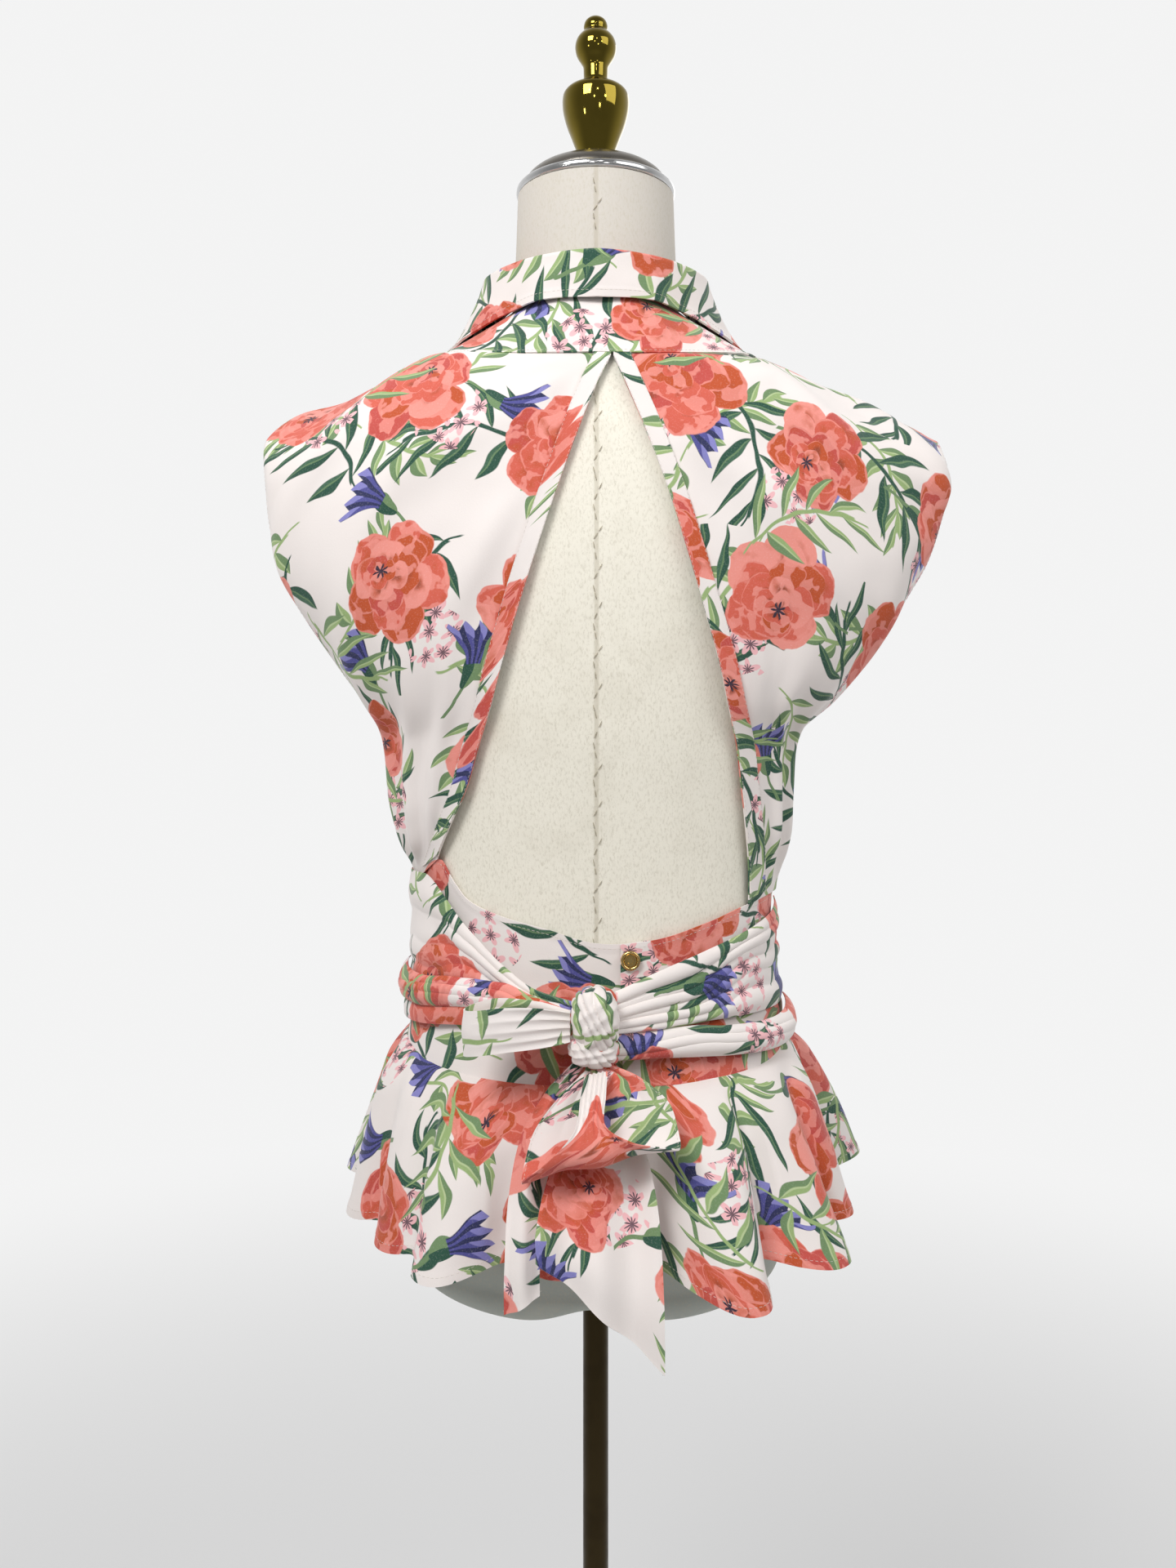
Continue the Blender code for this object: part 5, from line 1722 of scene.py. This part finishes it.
@dataclass
class Ties:
    """The ties round the waist: pleated wide ones, rolled ones and the one across the front."""

    form: DressForm
    layer: float = 0.0037
    roll_layer: float = 0.0070
    pleat: float = 0.0016
    roll_height: float = 0.0040
    left_wide: tuple[TieRow, ...] = (
        TieRow(-89.5, 1.0780, 0.9860, 0.0022),
        TieRow(-61, 1.0790, 0.9880, 0.0026),
        TieRow(-37, 1.0460, 0.9920, 0.0018),
        TieRow(-24, 1.0270, 0.9925, 0.0035),
        TieRow(-14, 1.0160, 0.9925, 0.0090),
        TieRow(-3.9, 1.0110, 0.9920, 0.0170),
    )
    right_wide: tuple[TieRow, ...] = (
        TieRow(3.2, 1.0170, 0.9945, 0.0170),
        TieRow(12, 1.0250, 0.9945, 0.0100),
        TieRow(20, 1.0300, 0.9950, 0.0050),
        TieRow(35, 1.0380, 0.9960, 0.0010),
        TieRow(60, 1.0490, 0.9960, 0.0000),
        TieRow(89.5, 1.0590, 0.9950, 0.0000),
    )
    left_round: tuple[TieRow, ...] = (
        TieRow(-91, 1.0190, 0.9990, 0.0024),
        TieRow(-60, 1.0165, 1.0000, 0.0028),
        TieRow(-42, 1.0190, 1.0030, 0.0022),
        TieRow(-37, 1.0190, 1.0035, 0.0022),
        TieRow(-24, 1.0185, 1.0040, 0.0040),
        TieRow(-14, 1.0130, 0.9990, 0.0095),
        TieRow(-5.2, 1.0070, 0.9970, 0.0160),
    )
    right_round: tuple[TieRow, ...] = (
        TieRow(3.3, 0.9925, 0.9800, 0.0125),
        TieRow(13, 0.9930, 0.9790, 0.0050),
        TieRow(24, 0.9935, 0.9775, 0.0010),
        TieRow(36, 0.9915, 0.9760, 0.0000),
        TieRow(60, 0.9905, 0.9745, 0.0000),
        TieRow(91, 0.9950, 0.9780, 0.0000),
    )
    front: tuple[TieRow, ...] = (
        TieRow(92, 1.0260, 0.9800, 0.0000),
        TieRow(135, 1.0290, 0.9830, 0.0000),
        TieRow(180, 1.0310, 0.9850, 0.0000),
        TieRow(225, 1.0290, 0.9850, 0.0000),
        TieRow(268, 1.0250, 0.9930, 0.0000),
    )

    def tie(
        self, table: Sequence[TieRow], layer: float, pleats: float, pleat: float, arch: float = 0.0
    ) -> Surface:
        """A tie lying round the waist: v goes from its lower edge to its upper edge."""

        def surface(u: Array, v: Array) -> Array:
            """The tie's inner side."""
            angle = mix(table[0].angle, table[-1].angle, u)
            folds = pleat * np.sin(np.pi * pleats * v) ** 2 + arch * np.sin(np.pi * v)
            off = layer + read(table, "rise", angle) + folds
            return self.form.at(angle, mix(read(table, "foot", angle), read(table, "top", angle), v), off)

        return surface

    def crush(self, seed: int, pleats: float, height: float, towards_end: bool) -> Surface:
        """Sharp pleats that run along a tie and crowd together towards the knot."""

        def folds(u: Array, v: Array) -> Array:
            """The folds' height."""
            near = u if towards_end else 1 - u
            bend = 0.16 * np.sin(2 * np.pi * (0.8 * u + 0.1 * seed))
            bend = bend + 0.05 * np.sin(2 * np.pi * (2.3 * u + 0.3 * seed))
            ridge = np.abs(np.sin(np.pi * pleats * (v + bend * np.sin(np.pi * v))))
            fine = creases(0.16 * u, 0.06 * v, seed, 6, 0.014, 0.05)
            return height * (ridge**0.8 * mix(0.55, 1.0, near) + 0.5 * fine)

        return folds

    def pieces(self) -> list[ClothPiece]:
        """Lists the ties."""
        wide, rolled = (self.layer, 3, self.pleat), (self.roll_layer, 1, 0.0, self.roll_height)
        left, right = "waistband_back_left", "waistband_back_right"
        ties = (
            ("tie_left_wide", self.tie(self.left_wide, *wide), 132, 78, (6, 0.0017, True),
             (7.4, 0.7), 0.5, left),
            ("tie_right_wide", self.tie(self.right_wide, *wide), 132, 78, (6, 0.0019, False),
             (4.51, 0.135), 0.0, right),
            ("tie_left_round", self.tie(self.left_round, *rolled), 150, 44, (3, 0.0011, True),
             (8.3, 0.9), 0.2, "tie_left_wide"),
            ("tie_right_round", self.tie(self.right_round, *rolled), 150, 44, (3, 0.0011, False),
             (8.72, 0.15), 0.2, right),
            ("tie_front", self.tie(self.front, self.layer, 2, self.pleat), 200, 54, (4, 0.0013, True),
             (9.2, 0.5), 0.1, "waistband_front"),
        )
        return [
            ClothPiece(
                name, surface, columns, rows, 1, (), self.crush(seed, *crush), print_at, turn,
                rests_on=(under,),
            )
            for seed, (name, surface, columns, rows, crush, print_at, turn, under) in enumerate(ties, 1)
        ]


@dataclass
class Bow:
    """The knot, the two loops and the two tails."""

    band_half: float = 0.0425
    lean: float = 0.0090
    right_cut: float = 0.0290
    left_cut: float = -0.0050
    knot_centre: Point = (-0.0010, -0.1130, 1.0005)
    knot_half: Point = (0.0134, 0.0185, 0.0225)
    left_loop: tuple[Stop, ...] = (
        Stop(-0.0147, -0.1150, 1.0020, 0.0080),
        Stop(-0.0330, -0.1115, 1.0035, 0.0110),
        Stop(-0.0560, -0.1080, 1.0030, 0.0128),
        Stop(-0.0705, -0.1110, 1.0000, 0.0130),
        Stop(-0.0755, -0.1180, 0.9985, 0.0128),
        Stop(-0.0690, -0.1255, 0.9995, 0.0126),
        Stop(-0.0510, -0.1285, 1.0020, 0.0124),
        Stop(-0.0310, -0.1275, 1.0030, 0.0110),
        Stop(-0.0147, -0.1215, 1.0020, 0.0080),
    )
    right_loop: tuple[Stop, ...] = (
        Stop(0.0010, -0.1160, 0.9773, 0.0080),
        Stop(0.0020, -0.1200, 0.9680, 0.0230),
        Stop(0.0025, -0.1260, 0.9540, 0.0370),
        Stop(0.0025, -0.1350, 0.9400, 0.0420),
        Stop(0.0020, -0.1460, 0.9345, 0.0425),
        Stop(0.0000, -0.1550, 0.9385, 0.0380),
        Stop(-0.0030, -0.1570, 0.9460, 0.0220),
        Stop(-0.0040, -0.1510, 0.9560, 0.0080),
        Stop(-0.0025, -0.1370, 0.9690, 0.0065),
        Stop(-0.0010, -0.1250, 0.9785, 0.0060),
    )
    right_tail: tuple[Stop, ...] = (
        Stop(0.0020, -0.1085, 0.9783, 0.0070),
        Stop(0.0020, -0.1120, 0.9600, 0.0130),
        Stop(0.0020, -0.1200, 0.9400, 0.0230),
        Stop(0.0020, -0.1400, 0.9130, 0.0310),
        Stop(0.0015, -0.1610, 0.8850, 0.0335),
        Stop(0.0015, -0.1660, 0.8620, 0.0335),
    )
    left_tail: tuple[Stop, ...] = (
        Stop(-0.0100, -0.1085, 0.9790, 0.0035),
        Stop(-0.0230, -0.1090, 0.9620, 0.0060),
        Stop(-0.0340, -0.1170, 0.9400, 0.0085),
        Stop(-0.0390, -0.1370, 0.9130, 0.0095),
        Stop(-0.0400, -0.1560, 0.8850, 0.0095),
        Stop(-0.0400, -0.1600, 0.8640, 0.0095),
    )

    def band(
        self, stops: Sequence[Stop], width_way: tuple[int, int, int], wave: float, waves: float,
        cut: float = 0.0, lean: float = 0.0,
    ) -> Surface:
        """A band of the bow: u goes along it and v across it.

        Args:
            stops: The middle line.
            width_way: The way that the band's width lies.
            wave: The height of its waves.
            waves: How many waves.
            cut: The slant of its far end.
            lean: How far one side of it stands higher.

        Returns:
            The band's surface.
        """
        middle = np.mean([stop[:3] for stop in stops], axis=0)

        def surface(u: Array, v: Array) -> Array:
            """The band's inner side."""
            centre = stack(along(stops, "x", u), along(stops, "y", u), along(stops, "z", u))
            half_width = along(stops, "half_width", u)
            out = unit((centre - middle) * (1 - np.abs(np.array(width_way))))
            if cut:
                out = stack(0 * u, -1, 0)
            across = (2 * v - 1) * half_width
            ripple = wave * np.cos(2 * np.pi * waves * (v - 0.5)) * ease(u, 0.1, 0.4)
            if not cut:
                ripple = ripple * (1 - ease(u, 0.6, 0.9))
            slant = stack(0, 0, (lean * half_width / self.band_half - cut * ease(u, 0.45, 1)) * (2 * v - 1))
            return centre + across[..., None] * np.array(width_way) + ripple[..., None] * out + slant

        return surface

    def gathers(self, seed: int, pleats: float, height: float, both_ends: bool) -> Surface:
        """Pleats that spread from the knot and fade away from it."""

        def folds(u: Array, v: Array) -> Array:
            """The folds' height."""
            near = 1 - ease(u, 0.03, 0.45)
            if both_ends:
                near = np.maximum(near, ease(u, 0.55, 0.97))
            ridge = np.abs(np.sin(np.pi * pleats * v + 0.6 * np.sin(2 * np.pi * u + seed)))
            fine = creases(0.12 * u, 0.06 * v, seed, 6, 0.016, 0.1)
            return height * (ridge * near + 0.55 * fine)

        return folds

    def pieces(self) -> list[ClothPiece]:
        """Lists the loops and tails."""
        side, up = (1, 0, 0), (0, 0, 1)
        narrow = (Hem(Edge.FOOT, 0.0028, 0.0002), Hem(Edge.TOP, 0.0028, 0.0002))
        ended = narrow + (Hem(Edge.END, 0.0034, 0.0002),)
        loop_left = self.band(self.left_loop, up, 0.0006, 1)
        loop_right = self.band(self.right_loop, side, 0.0012, 2, 0.0, self.lean)
        tail_left = self.band(self.left_tail, side, 0.0025, 1, self.left_cut)
        tail_right = self.band(self.right_tail, side, 0.0035, 2, self.right_cut)
        bands = (
            ("loop_left", loop_left, 160, 40, -1, (), (4, 0.0013, True), (4.36, 0.33), 0.1, "draped"),
            ("loop_right", loop_right, 156, 76, 1, narrow, (5, 0.0014, True), (10.31, 0.11), 1.7, "hung"),
            ("tail_left", tail_left, 120, 40, -1, ended, (2, 0.0012, False), (10.84, 0.74), 1.5, "hung"),
            ("tail_right", tail_right, 120, 70, -1, ended, (4, 0.0014, False), (4.59, 0.383), 1.62, "hung"),
        )
        return [
            ClothPiece(
                name, surface, columns, rows, facing, hems, self.gathers(seed, *gathers), print_at, turn,
                held=held, rests_on=("knot",),
            )
            for seed, (name, surface, columns, rows, facing, hems, gathers, print_at, turn, held)
            in enumerate(bands, 41)
        ]

    def wrap(
        self, name: str, centre: Point, half: Point, tilt: float,
        pleats: float, print_at: tuple[float, float], finish: bpy.types.Material,
    ) -> bpy.types.Object:
        """Builds one turn of the knot: a pinched barrel of pleated cloth.

        Args:
            name: The piece's name.
            centre: Its middle.
            half: Its half sizes.
            tilt: Its turn in the view from behind, in radians.
            pleats: How many pleats run over it.
            print_at: Its place on the printed cloth.
            finish: The cloth.

        Returns:
            The wrap.
        """
        columns, rows = 120, 72
        u, v = np.meshgrid(np.linspace(0, 1, columns, endpoint=False), np.linspace(0, 1, rows + 1)[1:-1])
        turn, rise = 2 * np.pi * u, np.pi * (v - 0.5)
        x = rounded(0.8, np.cos(rise)) * rounded(0.85, np.cos(turn))
        y = rounded(0.8, np.cos(rise)) * rounded(0.85, np.sin(turn))
        z = rounded(0.8, np.sin(rise))
        lines = x * math.cos(0.35) + z * math.sin(0.35) + 0.16 * np.sin(3 * z + 2 * x)
        ridge = 1 - 0.13 * (1 - np.abs(np.sin(np.pi * pleats * 0.5 * lines))) ** 2
        ridge = ridge * (1 - 0.05 * np.abs(np.sin(2.2 * np.pi * (z - 0.4 * x))))
        points = stack(x * ridge, y * ridge, z * mix(1, ridge, 0.5)) * np.array(half)
        flat = np.stack((u * np.pi * 2 * half[0], v * np.pi * half[2]), axis=-1) + np.array(print_at)
        ends = np.array(((0, 0, -half[2]), (0, 0, half[2])))
        points = np.concatenate((points.reshape(-1, 3), ends))
        cos, sin = math.cos(tilt), math.sin(tilt)
        x, y, z = points.T
        points = np.stack((x * cos - z * sin, y, x * sin + z * cos), axis=-1)
        index = np.arange((rows - 1) * columns).reshape(rows - 1, columns)
        faces = shell_faces(index, len(points) - 2, len(points) - 1)
        obj = new_piece(name, points + np.array(centre), faces, finish)
        places = np.concatenate((flat.reshape(-1, 2), [print_at, print_at]))
        corners = np.empty(len(obj.data.loops), np.int32)
        obj.data.loops.foreach_get("vertex_index", corners)
        layer = obj.data.uv_layers.new(name=PRINT_MAP)
        layer.data.foreach_set("uv", places[corners].astype(np.float32).ravel())
        return placed(obj, "printed_cloth", "knot")

    def tie_knot(self, finish: bpy.types.Material) -> None:
        """Builds the knot's upright wrap and the cross wrap under it."""
        x, y, z = self.knot_centre
        wide, deep, tall = self.knot_half
        upright = (x, y - 0.0008, z + 0.0046), (wide * 1.04, deep * 0.95, tall * 0.84)
        cross = (x - 0.0008, y + 0.0012, z - 0.0128), (wide * 1.16, deep * 0.86, tall * 0.44)
        self.wrap("knot_upright", *upright, 0.10, 5, (4.30, 0.315), finish)
        self.wrap("knot_cross", *cross, -0.08, 4, (4.06, 0.33), finish)


@dataclass
class Button:
    """The plain ring button on the overlap."""

    form: DressForm
    angle: float = 7.6
    height: float = 1.0320
    radius: float = 0.0058
    thick: float = 0.0022
    lift: float = 0.0012 + 2 * CLOTH + 3 * SEAM_GAP

    def build(self, metal: Metal) -> bpy.types.Object:
        """Builds the button with its rounded rim and sunken middle."""
        r, t = self.radius, self.thick
        turns = np.linspace(2.6, -1.4, 20)
        rim = [(r * (0.83 + 0.17 * math.cos(a)), t * (0.5 + 0.5 * math.sin(a))) for a in turns]
        sunk, raised = 0.45 * t, 0.62 * t
        ring = [(0.30 * r, sunk), (0.34 * r, raised), (0.44 * r, raised), (0.48 * r, sunk), (0.6 * r, sunk)]
        profile = ((0, sunk), *ring, *rim, (0.7 * r, 0), (0, 0))
        obj = turned("ring_button", profile, 72, metal.material())
        place = self.form.at(np.array(self.angle), np.array(self.height), self.lift)
        for vertex in obj.data.vertices:
            x, y, z = vertex.co
            vertex.co = (x + place[0], place[1] - z, y + place[2])
        return placed(obj, "button_metal", "button")


class Lamp(NamedTuple):
    """A soft square light: its place, its size in metres and its power in watts."""

    name: str
    place: Point
    size: float
    power: float


@dataclass
class Studio:
    """The camera at the photograph's place, the pale floor and the soft lights."""

    eye: Point = (-0.005, -0.83, 1.174)
    rise: float = -80 / 1920
    lens: float = 29.25
    sensor: float = 36.0
    near: float = 0.25
    far: float = 0.90
    turn: tuple[float, float] = (-0.6, 0.78)
    middle: Point = (0.0, 0.0, 1.15)
    lamps: tuple[Lamp, ...] = (
        Lamp("key", (-0.62, -1.12, 2.2), 0.6, 17.0),
        Lamp("fill", (1.15, -0.9, 2.1), 1.0, 8.0),
        Lamp("back", (0.5, 1.9, 1.9), 1.4, 6.0),
    )
    finial: Point = (0.0, 0.0, 1.55)
    glints: tuple[Lamp, ...] = (
        Lamp("glint 0", (-0.35, -0.9, 1.95), 0.07, 0.3),
        Lamp("glint 1", (0.12, -1.1, 2.05), 0.07, 0.3),
        Lamp("glint 2", (0.5, -0.8, 1.75), 0.07, 0.3),
        Lamp("glint 3", (-0.6, -0.7, 1.45), 0.07, 0.3),
        Lamp("glint 4", (-0.1, -1.2, 1.75), 0.07, 0.3),
        Lamp("glint 5", (0.25, -1.0, 1.5), 0.07, 0.3),
    )

    def light(self, lamp: Lamp, target: Point) -> None:
        """Adds a soft light that faces a target."""
        data = bpy.data.lights.new(lamp.name, "AREA")
        data.size, data.energy = lamp.size, lamp.power
        obj = bpy.data.objects.new(lamp.name, data)
        obj.location = lamp.place
        obj.rotation_euler = (Vector(target) - Vector(lamp.place)).to_track_quat("-Z", "Y").to_euler()
        bpy.context.scene.collection.objects.link(obj)

    def build(self) -> None:
        """Sets the camera, floor, lights and world."""
        scene = bpy.context.scene
        camera = bpy.data.cameras.new("camera")
        camera.sensor_fit, camera.sensor_height, camera.lens = "VERTICAL", self.sensor, self.lens
        camera.clip_start, camera.shift_y = 0.02, self.rise
        eye = bpy.data.objects.new("camera", camera)
        eye.location = self.eye
        eye.rotation_euler = (math.radians(90), 0, 0)
        scene.collection.objects.link(eye)
        scene.camera = eye
        bpy.ops.mesh.primitive_plane_add(size=80.0)
        floor = bpy.context.object
        floor.name = "floor"
        floor.data.materials.append(self.pale_floor())
        self.room(scene)
        scene.view_settings.view_transform = "Standard"
        for lamp in self.lamps:
            self.light(lamp, self.middle)
        for lamp in self.glints:
            self.light(lamp, self.finial)

    def pale_floor(self) -> bpy.types.Material:
        """Makes the floor's white, which far away gives way to a painted glow in the room's own tone."""
        g = Graph("pale floor")
        x, y = g.split(g.add("ShaderNodeTexCoord", {}, {}, "Object"))
        reach = g.math("SQRT", x * x + y * y + 0.001)
        # Painted glow: far from the form the floor turns black and glows in the room's tone, greyer behind
        # the camera and whiter beyond the form.
        far_glow = g.paint((*[self.near] * 3, 1.0), (*[self.far] * 3, 1.0), (y / reach).ease(*self.turn))
        away = reach.ease(0.5, 2.8)
        black = (0.0, 0.0, 0.0, 1.0)
        g.shade(base_color=g.paint((0.8, 0.8, 0.8, 1.0), black, away), roughness=0.9, specular_ior_level=0.0)
        g.shade(emission_color=g.paint(black, far_glow, away), emission_strength=1.0)
        return g.material

    def room(self, scene: bpy.types.Scene) -> None:
        """Lights the room: white beyond the form and above, greyer behind the camera and near the floor."""
        world = bpy.data.worlds.new("studio")
        world.use_nodes = True
        tree = world.node_tree
        place = tree.nodes.new("ShaderNodeTexCoord")
        parts = tree.nodes.new("ShaderNodeSeparateXYZ")
        tree.links.new(place.outputs["Generated"], parts.inputs[0])
        depth = tree.nodes.new("ShaderNodeMapRange")
        depth.interpolation_type = "SMOOTHSTEP"
        reach = (*self.turn, self.near, self.far)
        for name, value in zip(("From Min", "From Max", "To Min", "To Max"), reach):
            depth.inputs[name].default_value = value
        tree.links.new(parts.outputs["Y"], depth.inputs["Value"])
        tree.links.new(depth.outputs[0], tree.nodes["Background"].inputs["Strength"])
        tree.nodes["Background"].inputs["Color"].default_value = (1.0, 1.0, 1.0, 1.0)
        scene.world = world


def main() -> None:
    """Builds the whole scene."""
    logging.basicConfig(level=logging.INFO, format="%(message)s")
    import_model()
    Studio().build()
    cloth = PrintedCloth().material()
    brass = Metal("finial brass", srgb(128, 112, 46), 0.05, 0.02)
    chrome = Metal("neck chrome", srgb(205, 205, 205), 0.14)
    dark = Metal("cap metal", srgb(132, 127, 120), 0.24)
    bronze = Metal("pole bronze", srgb(60, 49, 28), 0.30, 0.12, 0.9)
    stand = Stand()
    stand.build(brass, chrome, dark, bronze)
    form = DressForm()
    form.build(CanvasCover().material(), stand.pole_radius, stand.pole_top + SEAM_GAP)
    bodice = Bodice(form)
    waist = Waist(form, bodice)
    bow = Bow()
    pieces = [*bodice.pieces(), *waist.pieces(), *Ties(form).pieces(), *bow.pieces()]
    for piece in pieces:
        piece.build(cloth)
    bow.tie_knot(cloth)
    Button(form).build(Metal("button gold", srgb(214, 184, 120), 0.16))
    rows = [row for piece in pieces for row in piece.stitch_rows]
    white, beige = Thread("white thread", srgb(232, 222, 214)), Thread("canvas thread", srgb(186, 176, 152))
    Needlework().sew("topstitching", rows, white.material(), "printed_cloth")
    tacks = Needlework(pitch=0.02, length=0.0046, thickness=0.0005)
    tacks.sew("seam_tacks", form.tack_rows(), beige.material(), "form_cover")


if __name__ == "__main__":
    main()
